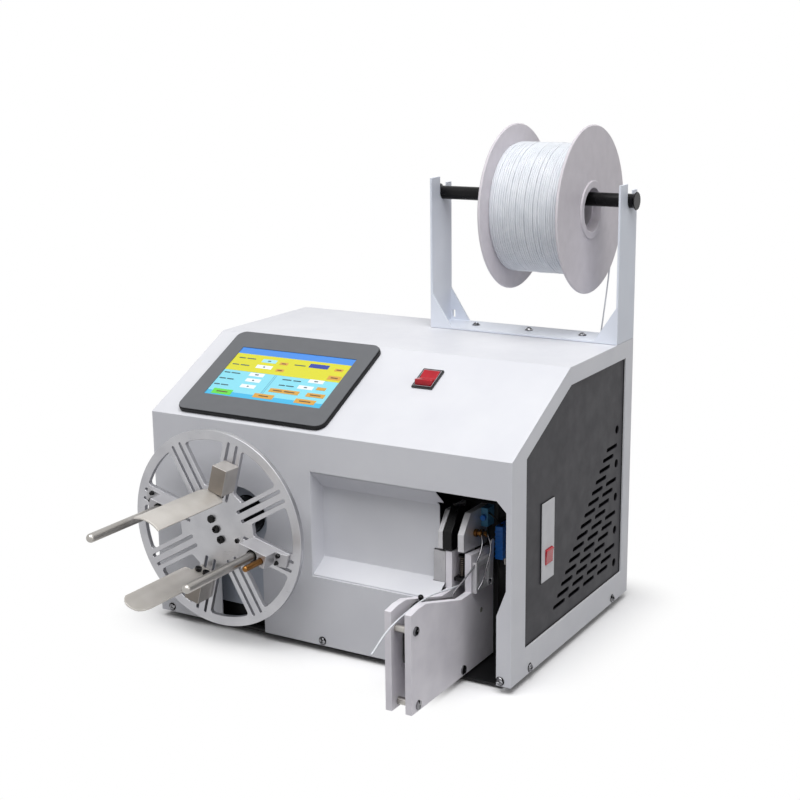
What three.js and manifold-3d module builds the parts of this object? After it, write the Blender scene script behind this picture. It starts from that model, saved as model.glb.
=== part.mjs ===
// Bench-top wire coil winding machine with a tying head, all sizes in millimetres, +Z up.
// x runs along the front, y runs from the front face to the back, z runs up.
import * as THREE from 'three';
import { mergeVertices } from 'three/addons/utils/BufferGeometryUtils.js';
import Module from 'manifold-3d';

const wasm = await Module();
wasm.setup();

// Clearance between pieces that meet, and the overrun of every cutting tool
const gap = 0.3;
const overrun = 2;
const roundSides = 28;
const smallSides = 14;

// Sheet steel cover
const shell = {
  width: 460,
  depth: 320,
  frontHeight: 242.6,
  height: 313,
  slopeRun: 140,
  wall: 2,
};
const half = shell.width / 2;
const slopeAngle = Math.atan2(shell.height - shell.frontHeight, shell.slopeRun);
const slopeRise = Math.tan(slopeAngle);

// Window in each side of the cover: its distances from the cover's edges, and the dark panel's lap behind it
const sideWindow = {
  front: 34,
  bottom: 31,
  rearEdge: 21,
  topEdge: 20,
  slopeEdge: 21.7,
  lap: 9,
};
const windowRear = shell.depth - sideWindow.rearEdge;
const sidePanelThickness = 1.5;
const vent = {
  rows: 15,
  drop: 10.2,
  topRow: 192.5,
  firstFromRear: 47,
  pitch: 40.7,
  length: 31,
  width: 4.7,
  lastFromRear: 15,
  besideBreaker: 3,
  roundRadius: 5,
  roundFromRear: 17,
  roundTop: 211,
  roundDrop: 40.8,
  roundCount: 5,
};

// Guide plates in front of the tying head, and the place of the whole head from the cover's right side
const guide = {
  fromSide: 87.9,
  thickness: 7.4,
  slot: 15.5,
  front: -105,
  frontTop: 106,
  crownFront: -90,
  crownTop: 108.5,
  crownRear: -74,
  shoulder: 87,
  pillarFront: 22,
  pillarTop: 129,
  rear: 74,
};
const guideLeft = half - guide.fromSide;
const slotLeft = guideLeft + guide.thickness;
const slotRight = slotLeft + guide.slot;
const slotMiddle = (slotLeft + slotRight) / 2;
const guideRight = slotRight + guide.thickness;
const spacer = { radius: 4, frontPlace: -96, upper: 86.5, lower: 7, rearPlace: 4 };

// Recess in the front of the cover
const pocket = {
  left: -13.5,
  bottom: 80,
  topDrop: 42.6,
  depth: 25,
  ledgeRise: 16,
  topFall: 23,
  wall: 1.5,
  lip: 6,
  notchGap: 0.6,
};
const pocketTop = shell.frontHeight - pocket.topDrop;

// Opening for the tying head, with its stepped right edge
const opening = {
  fromSide: 6.2,
  footFromSide: 17,
  topDrop: 42.3,
  topChamfer: 11,
  stepTop: 105.8,
  stepBottom: 77,
};
const openingLeft = guideLeft - gap;
const openingRight = half - opening.fromSide;
const openingFootRight = half - opening.footFromSide;
const openingTop = shell.frontHeight - opening.topDrop;

// Winding wheel, its axis and the carriers' places
const wheel = {
  fromSide: 119.5,
  z: 131.5,
  front: -43,
  thickness: 6,
  radius: 112.5,
  rim: 11,
  spokeHalfWidth: 12.5,
  windowInner: 50,
  windowFillet: 3.5,
  firstSpoke: 30,
  spokes: 8,
  slotOffset: 5.5,
  slotWidth: 3.5,
  slotInner: 36,
  slotEdge: 8.5,
};
const wheelX = wheel.fromSide - half;
const hub = { radius: 22, rear: 40, shaftRadius: 8, shaftRear: 86 };
const keyhole = { aroundHub: 15.5, besideHub: 8 };
const keyholeRadius = hub.radius + keyhole.aroundHub;
const keyholeHalfWidth = hub.radius + keyhole.besideHub;

// Tray, feet and motor behind the wheel
const tray = { drop: 5, rimHeight: 12, rimWall: 2, floor: 2, inset: 14, frontInset: 7, notchSide: 4 };
const foot = { radius: 11, height: 3, inset: 30 };
const motorPlate = { halfWidth: 48, bottom: 20, aboveAxis: 58.5, front: 17, thickness: 4, aroundHub: 0.7 };
const motorBracket = { top: 70, depth: 42, wall: 3 };
const bearing = { wall: 20, aroundHub: 0.3, behindHub: 5 };
const bearingRear = hub.rear + bearing.behindHub;
const motor = { radius: 40, length: 92, capRadius: 33, capLength: 10 };

// Touch screen and start switch on the sloped face, v measured up the slope
const screen = {
  fromSide: 31.5,
  width: 200,
  bottom: 5.5,
  height: 147,
  bezel: 5,
  glass: 1,
  glassInset: 1,
  corner: 12,
  bodyInset: 10,
  bodyDepth: 30,
};
const screenLeft = screen.fromSide - half;
const screenRight = screenLeft + screen.width;
const startSwitch = {
  besideScreen: 78,
  v: 109.7,
  width: 26,
  length: 32,
  bezel: 2.5,
  sideWall: 1.5,
  endWall: 1.8,
  bodyDepth: 22,
  bodyInset: 1.2,
  rockerRiseShare: 0.5,
};

// Breaker on the right side panel
const breaker = {
  front: 75,
  rear: 106,
  bottom: 90,
  top: 178,
  proud: 4,
  bodyDepth: 36,
  bodyInset: 2,
  rockerFromRear: 14,
  rockerRise: 26.5,
  rockerWidth: 17,
  rockerRadius: 8.4,
  rockerSink: 1.428,
  wellDepth: 16.8,
  rockerRiseShare: 0.34,
};
const rockerTilt = 10;
const rockerDishShare = 0.2;
const rockerDepthShare = 0.5;

// Carriers on the wheel: s runs out along the spoke, t across it, counter-clockwise
const carrier = {
  plateBlockDepth: 23,
  rodBlockDepth: 25,
  footThickness: 7,
  toeThickness: 3,
  toeFromRim: 14.5,
};
const topCarrier = { angle: 75, fromRim: 29.5, length: 30, middle: -4, halfWidth: 9.5 };
const bottomCarrier = { angle: 255, fromRim: 29.5, length: 30, middle: 0, halfWidth: 9.5 };
const rightCarrier = { angle: 345, fromRim: 28.5, length: 36, middle: 4.75 };
const leftCarrier = { angle: 165, fromRim: 35.5, length: 28, middle: -4.75 };
const coilPlate = {
  halfWidth: 17,
  sag: 4.5,
  thickness: 2,
  tip: -174,
  tongueHalfWidth: 10,
  rear: -62,
  rearCorner: 5,
  corner: 12,
  arcSteps: 8,
};
const rod = { radius: 5, tip: -183, recessGap: 2, recessWall: 0.75, recessDepth: 8 };
const rodRecess = rod.radius + rod.recessGap;
rightCarrier.halfWidth = rodRecess + rod.recessWall;
leftCarrier.halfWidth = rodRecess + rod.recessWall;
const pin = { radius: 3.5, fromOuter: 6, t: 4, tip: -98, seat: 15 };

// Tying head
const cheek = {
  front: 20,
  faceBottom: 131,
  faceTop: 150,
  bevelRear: 36,
  top: 170,
  rear: guide.rear,
  rearBottom: 126,
  inSlot: 8.1,
  leftReach: 8.2,
  leftThickness: 5.5,
};
const cheekLeft = guideLeft - cheek.leftReach;
const jaw = {
  thickness: 10.5,
  crown: 175,
  crownFront: 40,
  crownFall: 7,
  heelRise: 1.2,
  pivotY: 64,
  pivotZ: 150,
  pinRadius: 3,
  arcSteps: 4,
};
const sideBlock = { width: 14.4, bottom: 87, top: 128, depth: 40 };
const sideBlockLeft = openingLeft - sideBlock.width;
const sideFrame = { thickness: 5, front: 24, rear: 58, bottom: 86, top: 120, border: 7 };
const headBody = { leftReach: 15.1, rightReach: 5.6, rear: 190, top: 172 };
const headBodyRight = guideRight + headBody.rightReach;
const nozzle = { radius: 2.6, length: 9, frontY: 45, frontZ: 146, rearY: 58, rearZ: 142 };
const airBlock = { width: 8, bottom: 149.5, top: 170, depth: 16 };
const solenoid = { width: 9, bottom: 112, top: 149, front: 66, rear: 96 };
const spring = { radius: 3.4, wire: 1, curls: 8, bottom: 100, top: 122, place: 31 };
const springPost = { radius: 2, headRadius: 4.4, headHeight: 2, sink: 2, seatHeight: 4, seatDepth: 10 };

// Curved hook arm between the guide plates
const hook = {
  sideGap: 2.25,
  halfHeight: 3.6,
  pivotY: 46,
  pivotZ: 60,
  bossRadius: 8,
  pinRadius: 3,
  bandRearY: 15,
  bandRearZ: 77,
  bandFrontY: -53,
  bandFrontZ: 97,
  noseRadius: 22,
  noseBottom: 45,
  noseSteps: 8,
  ballRadius: 3,
  ballOverhang: 0.6,
  ballZ: 104.6,
  neckRadius: 1.5,
};

// Sheet steel spool stand, at the cover's rear right
const stand = {
  width: 243,
  depth: 50,
  sheet: 2.5,
  rodGap: 0.5,
  frontProng: 27.8,
  rearProng: 19.8,
  gussetHeight: 40,
  gussetWidth: 26,
  corner: 6,
  reliefWidth: 3,
  reliefHeight: 12,
};
const standRight = half;
const standLeft = standRight - stand.width;
const standFront = shell.depth - stand.depth;

// Spool rod, in the stand's slots, and the spool that hangs on it
const spoolRod = {
  radius: 8,
  fromRear: 20,
  aboveCover: 161.5,
  leftEnd: 3,
  rightEnd: 8,
  capRadius: 10.5,
  neckLength: 3.5,
};
const rodY = shell.depth - spoolRod.fromRear;
const rodZ = shell.height + spoolRod.aboveCover;
const rodLeft = standLeft - spoolRod.leftEnd;
const rodRight = standRight + spoolRod.rightEnd;
const spool = {
  fromStand: 47,
  width: 98.5,
  flangeRadius: 96.5,
  flange: 3,
  boreRadius: 20.8,
  mouthStep: 4.2,
  mouthDepth: 9,
  bossWall: 8.5,
  bossHeight: 1.5,
  barrelStep: 4.5,
};
const spoolX = standRight - spool.fromStand - spool.width / 2;
const spoolZ = rodZ + spoolRod.radius + gap - spool.boreRadius;
const mouthRadius = spool.boreRadius + spool.mouthStep;
const bossRadius = mouthRadius + spool.bossWall;
const barrelRadius = bossRadius + spool.barrelStep;

// Outer layer of the winding: the wire fills the width between the flanges with its loops and spaces
const winding = { belowRim: 20.5, loops: 24, space: 0.5, sides: 6, steps: 24 };
const windingWidth = spool.width - 2 * (spool.flange + gap);
const windingWire = (windingWidth - winding.loops * winding.space) / (winding.loops + 1);
const windingRadius = spool.flangeRadius - winding.belowRim;

// White tie wire, its points chosen by hand along its route: those of the tail are measured from
// the guide plates' left face, those of the feed from the cover's rear top right corner
const tieWireRadius = 0.9;
const tieWireSides = 8;
const tieTail = [
  [15.1, 74, 88],
  [15.1, 60, 88.2],
  [15.5, 35, 91],
  [16.5, -1, 96.5],
  [16.5, -41, 103],
  [16.3, -94, 101.2],
  [15.7, -127, 94.7],
  [15.1, -155, 81.5],
];
const feedWire = [
  [-51.9, 57.3, 149],
  [-51.9, 57.3, 133],
  [-51.6, 54, 102],
  [-51.2, 46, 67],
  [-51.4, 32, 17],
  [-51.8, 20, -23],
  [-52, 14, -45],
  [-52, 7, -54.6],
  [-52, 2, -56],
  [-52, -1.6, -56],
];

// Rear panel
const inlet = { fromSide: 80, z: 45, width: 30, height: 24, flange: 48, depth: 22, proud: 2, wall: 2.5 };
const inletX = inlet.fromSide - half;
const grommet = { fromSide: 52, belowTop: 56, radius: 6, proud: 2.5 };
const grommetX = half - grommet.fromSide;
const grommetZ = shell.height - grommet.belowTop;
const rearVent = { rows: 5, drop: 12, top: 150, width: 60, slot: 5, left: -30 };

const white = { color: 0xe6e7ec, roughness: 0.45, metalness: 0 };
const dark = { color: 0x3a3d44, roughness: 0.5, metalness: 0 };
const black = { color: 0x141416, roughness: 0.55, metalness: 0 };
const steel = { color: 0xb9babd, roughness: 0.3, metalness: 0.9 };
const aluminium = { color: 0xc9cbce, roughness: 0.4, metalness: 0.85 };
const brass = { color: 0xc49a52, roughness: 0.3, metalness: 0.9 };
const red = { color: 0xd01818, roughness: 0.35, metalness: 0 };
const blue = { color: 0x1d4f9c, roughness: 0.5, metalness: 0 };
const lightBlue = { color: 0x6ba3cf, roughness: 0.5, metalness: 0 };
const wirePlastic = { color: 0xf2f3f5, roughness: 0.45, metalness: 0 };
const spoolPlastic = { color: 0xd9d5d8, roughness: 0.5, metalness: 0 };
const glass = { color: 0x30343a, roughness: 0.15, metalness: 0 };

const part = new THREE.Group();
const machine = new THREE.Group();
part.add(machine);
const degrees = Math.PI / 180;
const turn = Math.PI * 2;

// Adds a named mesh to a group
function add(group, name, geometry, finish) {
  const mesh = new THREE.Mesh(geometry, new THREE.MeshStandardMaterial(finish));
  mesh.name = name;
  group.add(mesh);
  return mesh;
}

function solidOf(geometry) {
  const bare = geometry.clone();
  bare.deleteAttribute('normal');
  bare.deleteAttribute('uv');
  const merged = mergeVertices(bare);
  return new wasm.Manifold(new wasm.Mesh({
    numProp: 3,
    vertProperties: new Float32Array(merged.attributes.position.array),
    triVerts: new Uint32Array(merged.index.array),
  }));
}

function geometryOf(solid) {
  const mesh = solid.getMesh();
  const geometry = new THREE.BufferGeometry();
  geometry.setAttribute('position', new THREE.BufferAttribute(new Float32Array(mesh.vertProperties), 3));
  geometry.setIndex(new THREE.BufferAttribute(new Uint32Array(mesh.triVerts), 1));
  geometry.computeVertexNormals();
  return geometry;
}

// Joins the solids of a list, then cuts those of a second list away
function joined(parts, cuts = []) {
  let solid = solidOf(parts[0]);
  for (const part of parts.slice(1)) solid = solid.add(solidOf(part));
  for (const cut of cuts) solid = solid.subtract(solidOf(cut));
  return geometryOf(solid);
}

function box(x0, x1, y0, y1, z0, z1) {
  const geometry = new THREE.BoxGeometry(x1 - x0, y1 - y0, z1 - z0);
  return geometry.translate((x0 + x1) / 2, (y0 + y1) / 2, (z0 + z1) / 2);
}

function shapeOf(outline) {
  if (outline instanceof THREE.Shape) return outline;
  return new THREE.Shape(outline.map(([a, b]) => new THREE.Vector2(a, b)));
}

// An outline in y and z, drawn out along x
function alongX(outline, x0, x1, curveSegments = smallSides) {
  const options = { depth: x1 - x0, bevelEnabled: false, curveSegments };
  const geometry = new THREE.ExtrudeGeometry(shapeOf(outline), options);
  const basis = new THREE.Matrix4().makeBasis(
    new THREE.Vector3(0, 1, 0),
    new THREE.Vector3(0, 0, 1),
    new THREE.Vector3(1, 0, 0),
  );
  return geometry.applyMatrix4(basis).translate(x0, 0, 0);
}

// An outline in x and z, drawn out along y
function alongY(outline, y0, y1, curveSegments = smallSides) {
  const options = { depth: y1 - y0, bevelEnabled: false, curveSegments };
  const geometry = new THREE.ExtrudeGeometry(shapeOf(outline), options);
  return geometry.rotateX(Math.PI / 2).translate(0, y1, 0);
}

// An outline in x and y, drawn out along z
function alongZ(outline, z0, z1, curveSegments = smallSides) {
  const options = { depth: z1 - z0, bevelEnabled: false, curveSegments };
  return new THREE.ExtrudeGeometry(shapeOf(outline), options).translate(0, 0, z0);
}

function barX(radius, x0, x1, y, z, sides = smallSides) {
  const geometry = new THREE.CylinderGeometry(radius, radius, x1 - x0, sides);
  return geometry.rotateZ(Math.PI / 2).translate((x0 + x1) / 2, y, z);
}

function barY(radius, y0, y1, x, z, sides = smallSides) {
  const geometry = new THREE.CylinderGeometry(radius, radius, y1 - y0, sides);
  return geometry.translate(x, (y0 + y1) / 2, z);
}

function barZ(radius, z0, z1, x, y, sides = smallSides) {
  const geometry = new THREE.CylinderGeometry(radius, radius, z1 - z0, sides);
  return geometry.rotateX(Math.PI / 2).translate(x, y, (z0 + z1) / 2);
}

// A turned body about y: the profile lists radius and y, from the front end to the back end
function turned(profile, sides = roundSides) {
  return new THREE.LatheGeometry(profile.map(([r, y]) => new THREE.Vector2(r, y)), sides);
}

// Points on an arc, its angles in radians
function arc(cx, cy, radius, from, to, steps) {
  const points = [];
  for (let i = 0; i <= steps; i += 1) {
    const angle = from + (to - from) * i / steps;
    points.push([cx + radius * Math.cos(angle), cy + radius * Math.sin(angle)]);
  }
  return points;
}

function roundedRectangle(x0, x1, y0, y1, radius) {
  const steps = 5;
  const quarter = Math.PI / 2;
  return [
    ...arc(x1 - radius, y0 + radius, radius, -quarter, 0, steps),
    ...arc(x1 - radius, y1 - radius, radius, 0, quarter, steps),
    ...arc(x0 + radius, y1 - radius, radius, quarter, 2 * quarter, steps),
    ...arc(x0 + radius, y0 + radius, radius, 2 * quarter, 3 * quarter, steps),
  ];
}

// A slot with round ends from x0 to x1 about the height y
function slotOutline(x0, x1, y, width, steps = 4) {
  const radius = width / 2;
  const quarter = Math.PI / 2;
  return [
    ...arc(x1 - radius, y, radius, -quarter, quarter, steps),
    ...arc(x0 + radius, y, radius, quarter, 3 * quarter, steps),
  ];
}

// A closed tube through points, its first and last rings square to the path
function tube(points, radius, sides) {
  const vectors = points.map((p) => new THREE.Vector3(...p));
  const positions = [];
  const index = [];
  const side = new THREE.Vector3();
  const across = new THREE.Vector3(1, 0, 0);
  vectors.forEach((point, i) => {
    const before = vectors[Math.max(i - 1, 0)];
    const after = vectors[Math.min(i + 1, vectors.length - 1)];
    const along = new THREE.Vector3().subVectors(after, before).normalize();
    side.copy(across).addScaledVector(along, -across.dot(along)).normalize();
    const up = new THREE.Vector3().crossVectors(along, side);
    for (let k = 0; k < sides; k += 1) {
      const angle = turn * k / sides;
      const spoke = side.clone().multiplyScalar(Math.cos(angle)).addScaledVector(up, Math.sin(angle));
      positions.push(...point.clone().addScaledVector(spoke, radius).toArray());
    }
    if (i > 0) {
      for (let k = 0; k < sides; k += 1) {
        const a = (i - 1) * sides + k;
        const b = (i - 1) * sides + (k + 1) % sides;
        index.push(a, b, b + sides, a, b + sides, a + sides);
      }
    }
  });
  const last = (vectors.length - 1) * sides;
  for (let k = 1; k < sides - 1; k += 1) {
    index.push(0, k + 1, k);
    index.push(last, last + k, last + k + 1);
  }
  const geometry = new THREE.BufferGeometry();
  geometry.setAttribute('position', new THREE.Float32BufferAttribute(positions, 3));
  geometry.setIndex(index);
  geometry.computeVertexNormals();
  return geometry;
}

// The height of the sloped face, or of one a given depth below it
function slopeHeight(y, below = 0) {
  return shell.frontHeight + y * slopeRise - below / Math.cos(slopeAngle);
}

// A group whose x and y lie in the sloped face and whose z points out of it
function slopeGroup() {
  const group = new THREE.Group();
  group.position.set(0, 0, shell.frontHeight);
  group.rotation.x = slopeAngle;
  machine.add(group);
  return group;
}

function onSlope(geometry) {
  const group = new THREE.Object3D();
  group.position.set(0, 0, shell.frontHeight);
  group.rotation.x = slopeAngle;
  group.updateMatrix();
  return geometry.applyMatrix4(group.matrix);
}

// Outline of the side window, grown by a lap on every edge
function windowOutline(lap) {
  const w = sideWindow;
  const top = shell.height - w.topEdge;
  const frontTop = slopeHeight(w.front) - w.slopeEdge;
  const slopeTop = w.front + (top - frontTop) / slopeRise;
  const upper = Math.tan(slopeAngle / 2) * lap;
  const frontUpper = Math.tan((Math.PI / 2 - slopeAngle) / 2) * lap;
  return [
    [w.front - lap, w.bottom - lap],
    [windowRear + lap, w.bottom - lap],
    [windowRear + lap, top + lap],
    [slopeTop - upper, top + lap],
    [w.front - lap, frontTop + frontUpper],
  ];
}

// Whether a vent slot would come too near the breaker's plate
function meetsBreaker(start, height) {
  const beside = vent.besideBreaker;
  const reach = vent.width / 2 + beside;
  return start + vent.length > breaker.front - beside && start < breaker.rear + beside
    && height + reach > breaker.bottom && height - reach < breaker.top;
}

// Places of the slots in the side panel, as start and height, clear of the breaker
function ventSlots() {
  const slots = [];
  for (let row = 0; row < vent.rows; row += 1) {
    const height = vent.topRow - row * vent.drop;
    let start = windowRear - vent.firstFromRear - row * vent.drop;
    while (start + vent.length < windowRear - vent.lastFromRear) {
      if (!meetsBreaker(start, height)) {
        slots.push([start, height]);
      }
      start += vent.pitch;
    }
  }
  return slots;
}

function makeCover() {
  const { depth, height, wall } = shell;
  const outer = [
    [0, 0],
    [depth, 0],
    [depth, height],
    [shell.slopeRun, height],
    [0, shell.frontHeight],
  ];
  const innerTop = height - wall;
  const innerSlopeEnd = (innerTop - slopeHeight(0, wall)) / slopeRise;
  const inner = [
    [wall, -overrun],
    [depth + overrun, -overrun],
    [depth + overrun, innerTop],
    [innerSlopeEnd, innerTop],
    [wall, slopeHeight(wall, wall)],
  ];
  const cuts = [alongX(inner, wall - half, half - wall)];
  cuts.push(alongX(windowOutline(0), -half - overrun, half + overrun));
  cuts.push(box(pocket.left, openingLeft + overrun, -overrun, wall + overrun, pocket.bottom, pocketTop));
  const stepped = [
    [openingLeft, -overrun],
    [openingFootRight, -overrun],
    [openingFootRight, opening.stepBottom],
    [openingRight, opening.stepTop],
    [openingRight, openingTop - opening.topChamfer],
    [openingRight - opening.topChamfer, openingTop],
    [openingLeft, openingTop],
  ];
  cuts.push(alongY(stepped, -overrun, wall + overrun));
  cuts.push(box(
    wheelX - keyholeHalfWidth,
    wheelX + keyholeHalfWidth,
    -overrun,
    wall + overrun,
    -overrun,
    wheel.z,
  ));
  cuts.push(barY(keyholeRadius, -overrun, wall + overrun, wheelX, wheel.z, roundSides));
  cuts.push(onSlope(box(
    screenLeft + screen.bodyInset - gap,
    screenRight - screen.bodyInset + gap,
    screen.bottom + screen.bodyInset - gap,
    screen.bottom + screen.height - screen.bodyInset + gap,
    -wall - overrun,
    overrun,
  )));
  const s = startSwitch;
  const middle = screenRight + s.besideScreen;
  cuts.push(onSlope(box(
    middle - s.width / 2 + s.bodyInset - gap,
    middle + s.width / 2 - s.bodyInset + gap,
    s.v - s.length / 2 + s.bodyInset - gap,
    s.v + s.length / 2 - s.bodyInset + gap,
    -wall - overrun,
    overrun,
  )));
  return joined([alongX(outer, -half, half)], cuts);
}

// The pocket's liner: a sloped top and ledge, a rear wall and a square left wall
function makePocket() {
  const { wall, lip } = pocket;
  const frontFace = shell.wall + gap;
  const topRun = pocket.topFall / pocket.depth;
  const ledgeRun = pocket.ledgeRise / pocket.depth;
  const topAt = (y) => pocketTop - topRun * y;
  const ledgeAt = (y) => pocket.bottom + ledgeRun * y;
  const outer = [
    [frontFace, ledgeAt(frontFace) - lip],
    [frontFace + wall, ledgeAt(frontFace) - lip],
    [frontFace + wall, ledgeAt(frontFace + wall) - wall],
    [pocket.depth + wall, ledgeAt(pocket.depth + wall) - wall],
    [pocket.depth + wall, topAt(pocket.depth + wall) + wall],
    [frontFace + wall, topAt(frontFace + wall) + wall],
    [frontFace + wall, topAt(frontFace) + lip],
    [frontFace, topAt(frontFace) + lip],
  ];
  const inner = [
    [-overrun, ledgeAt(-overrun)],
    [pocket.depth, ledgeAt(pocket.depth)],
    [pocket.depth, topAt(pocket.depth)],
    [-overrun, topAt(-overrun)],
  ];
  const right = openingLeft - gap;
  const body = alongX(outer, pocket.left - wall, right);
  const flange = box(pocket.left - lip, pocket.left, frontFace, frontFace + wall,
    ledgeAt(frontFace) - lip, topAt(frontFace) + lip);
  const hollow = alongX(inner, pocket.left, right + overrun);
  const notch = box(sideBlockLeft - pocket.notchGap, right + overrun, guide.pillarFront - pocket.notchGap,
    pocket.depth + wall + overrun, 0, sideBlock.top + pocket.notchGap);
  const cheekNotch = box(cheekLeft - pocket.notchGap, right + overrun, cheek.front - pocket.notchGap,
    pocket.depth + wall + overrun, sideBlock.top, pocketTop);
  return joined([body, flange], [hollow, notch, cheekNotch]);
}

function makeSidePanel(side) {
  const outer = half - shell.wall - gap;
  const x0 = side > 0 ? outer - sidePanelThickness : -outer;
  const x1 = x0 + sidePanelThickness;
  const holes = [];
  for (const [start, height] of ventSlots()) {
    holes.push(slotOutline(start, start + vent.length, height, vent.width, 2));
  }
  for (let i = 0; i < vent.roundCount; i += 1) {
    const hole = new THREE.Shape();
    hole.absarc(windowRear - vent.roundFromRear, vent.roundTop - i * vent.roundDrop, vent.roundRadius, 0,
      turn);
    holes.push(hole);
  }
  if (side > 0) {
    const b = breaker;
    holes.push([
      [b.front + b.bodyInset - gap, b.bottom + b.bodyInset - gap],
      [b.rear - b.bodyInset + gap, b.bottom + b.bodyInset - gap],
      [b.rear - b.bodyInset + gap, b.top - b.bodyInset + gap],
      [b.front + b.bodyInset - gap, b.top - b.bodyInset + gap],
    ]);
  }
  const cuts = holes.map((hole) => alongX(hole, x0 - overrun, x1 + overrun, 5));
  return joined([alongX(windowOutline(sideWindow.lap), x0, x1)], cuts);
}

function makeRearPanel() {
  const edge = half - shell.wall - gap;
  const shape = shapeOf([
    [-edge, tray.rimHeight + gap],
    [edge, tray.rimHeight + gap],
    [edge, shell.height - shell.wall - gap],
    [-edge, shell.height - shell.wall - gap],
  ]);
  for (let row = 0; row < rearVent.rows; row += 1) {
    const z = rearVent.top - row * rearVent.drop;
    shape.holes.push(shapeOf(slotOutline(rearVent.left, rearVent.left + rearVent.width, z, rearVent.slot)));
  }
  const w = inlet.width / 2 + gap;
  const h = inlet.height / 2 + gap;
  shape.holes.push(shapeOf([
    [inletX - w, inlet.z - h],
    [inletX + w, inlet.z - h],
    [inletX + w, inlet.z + h],
    [inletX - w, inlet.z + h],
  ]));
  const hole = new THREE.Path();
  hole.absarc(grommetX, grommetZ, grommet.radius + gap, 0, turn);
  shape.holes.push(hole);
  return alongY(shape, shell.depth - shell.wall, shell.depth, 10);
}

function makeInlet() {
  const { z, wall } = inlet;
  const w = inlet.width / 2;
  const h = inlet.height / 2;
  const side = inlet.flange / 2;
  const front = shell.depth - inlet.depth;
  const face = shell.depth + gap;
  const rear = face + inlet.proud;
  const body = box(inletX - w, inletX + w, front, rear, z - h, z + h);
  const flange = box(inletX - side, inletX + side, face, rear, z - h - wall, z + h + wall);
  const socket = box(inletX - w + wall, inletX + w - wall, front + wall, rear + overrun,
    z - h + wall, z + h - wall);
  return joined([body, flange], [socket]);
}

function makeGrommet() {
  const bore = tieWireRadius + gap;
  const inside = shell.depth - shell.wall;
  const rearFace = shell.depth + gap;
  const profile = [
    [bore, inside],
    [grommet.radius, inside],
    [grommet.radius, rearFace],
    [grommet.radius + grommet.proud, rearFace],
    [grommet.radius + grommet.proud, rearFace + grommet.proud],
    [bore, rearFace + grommet.proud],
    [bore, inside],
  ];
  return turned(profile, smallSides).translate(grommetX, 0, grommetZ);
}

function makeTray() {
  const outer = half - shell.wall - gap;
  const front = shell.wall + gap;
  const rear = shell.depth;
  const { drop, floor, inset, frontInset, rimWall, rimHeight } = tray;
  const rim = box(-outer, outer, front, rear, -gap, rimHeight);
  const panFront = front + frontInset;
  const pan = box(-outer + inset, outer - inset, panFront, rear - inset, -drop, rimHeight);
  const hollow = box(-outer + inset + rimWall, outer - inset - rimWall, panFront + rimWall,
    rear - inset - rimWall, floor - drop, rimHeight + overrun);
  const ledgeHollow = box(-outer + rimWall, outer - rimWall, front + rimWall, rear - rimWall,
    floor, rimHeight + overrun);
  const notch = box(openingLeft - tray.notchSide, openingFootRight + tray.notchSide,
    -overrun, panFront + rimWall + overrun, floor - drop, rimHeight + overrun);
  const wheelNotch = box(wheelX - keyholeHalfWidth, wheelX + keyholeHalfWidth,
    -overrun, front + rimWall + overrun, floor, rimHeight + overrun);
  return joined([rim, pan], [hollow, ledgeHollow, notch, wheelNotch]);
}

function makeMotorPlate() {
  const m = motorPlate;
  const top = wheel.z + m.aboveAxis;
  const shape = shapeOf(roundedRectangle(wheelX - m.halfWidth, wheelX + m.halfWidth, m.bottom, top,
    m.thickness));
  const bore = new THREE.Path();
  bore.absarc(wheelX, wheel.z, hub.radius + m.aroundHub, 0, turn);
  shape.holes.push(bore);
  return alongY(shape, m.front, m.front + m.thickness, smallSides);
}

function makeMotorBracket() {
  const m = motorPlate;
  const b = motorBracket;
  const face = m.front + m.thickness + gap;
  const bottom = tray.floor - tray.drop + gap;
  const outline = [
    [face, bottom],
    [face + b.depth, bottom],
    [face + b.depth, bottom + b.wall],
    [face + b.wall, bottom + b.wall],
    [face + b.wall, b.top],
    [face, b.top],
  ];
  return alongX(outline, wheelX - m.halfWidth, wheelX + m.halfWidth);
}

function makeBearing() {
  const front = motorPlate.front + motorPlate.thickness + gap;
  const bore = hub.radius + bearing.aroundHub;
  const outer = hub.radius + bearing.wall;
  const profile = [
    [bore, front],
    [outer, front],
    [outer, bearingRear],
    [bore, bearingRear],
    [bore, front],
  ];
  return turned(profile).translate(wheelX, 0, wheel.z);
}

function makeMotor() {
  const front = bearingRear + gap;
  const bore = hub.shaftRadius + gap;
  const rear = front + motor.length;
  const profile = [
    [bore, front],
    [motor.radius, front],
    [motor.radius, rear],
    [motor.capRadius, rear],
    [motor.capRadius, rear + motor.capLength],
    [0, rear + motor.capLength],
    [0, hub.shaftRear + gap],
    [bore, hub.shaftRear + gap],
    [bore, front],
  ];
  return turned(profile).translate(wheelX, 0, wheel.z);
}

function makeDriveHub() {
  const front = wheel.front + wheel.thickness + gap;
  const profile = [
    [0, front],
    [hub.radius, front],
    [hub.radius, hub.rear],
    [hub.shaftRadius, hub.rear],
    [hub.shaftRadius, hub.shaftRear],
    [0, hub.shaftRear],
  ];
  return turned(profile);
}

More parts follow.
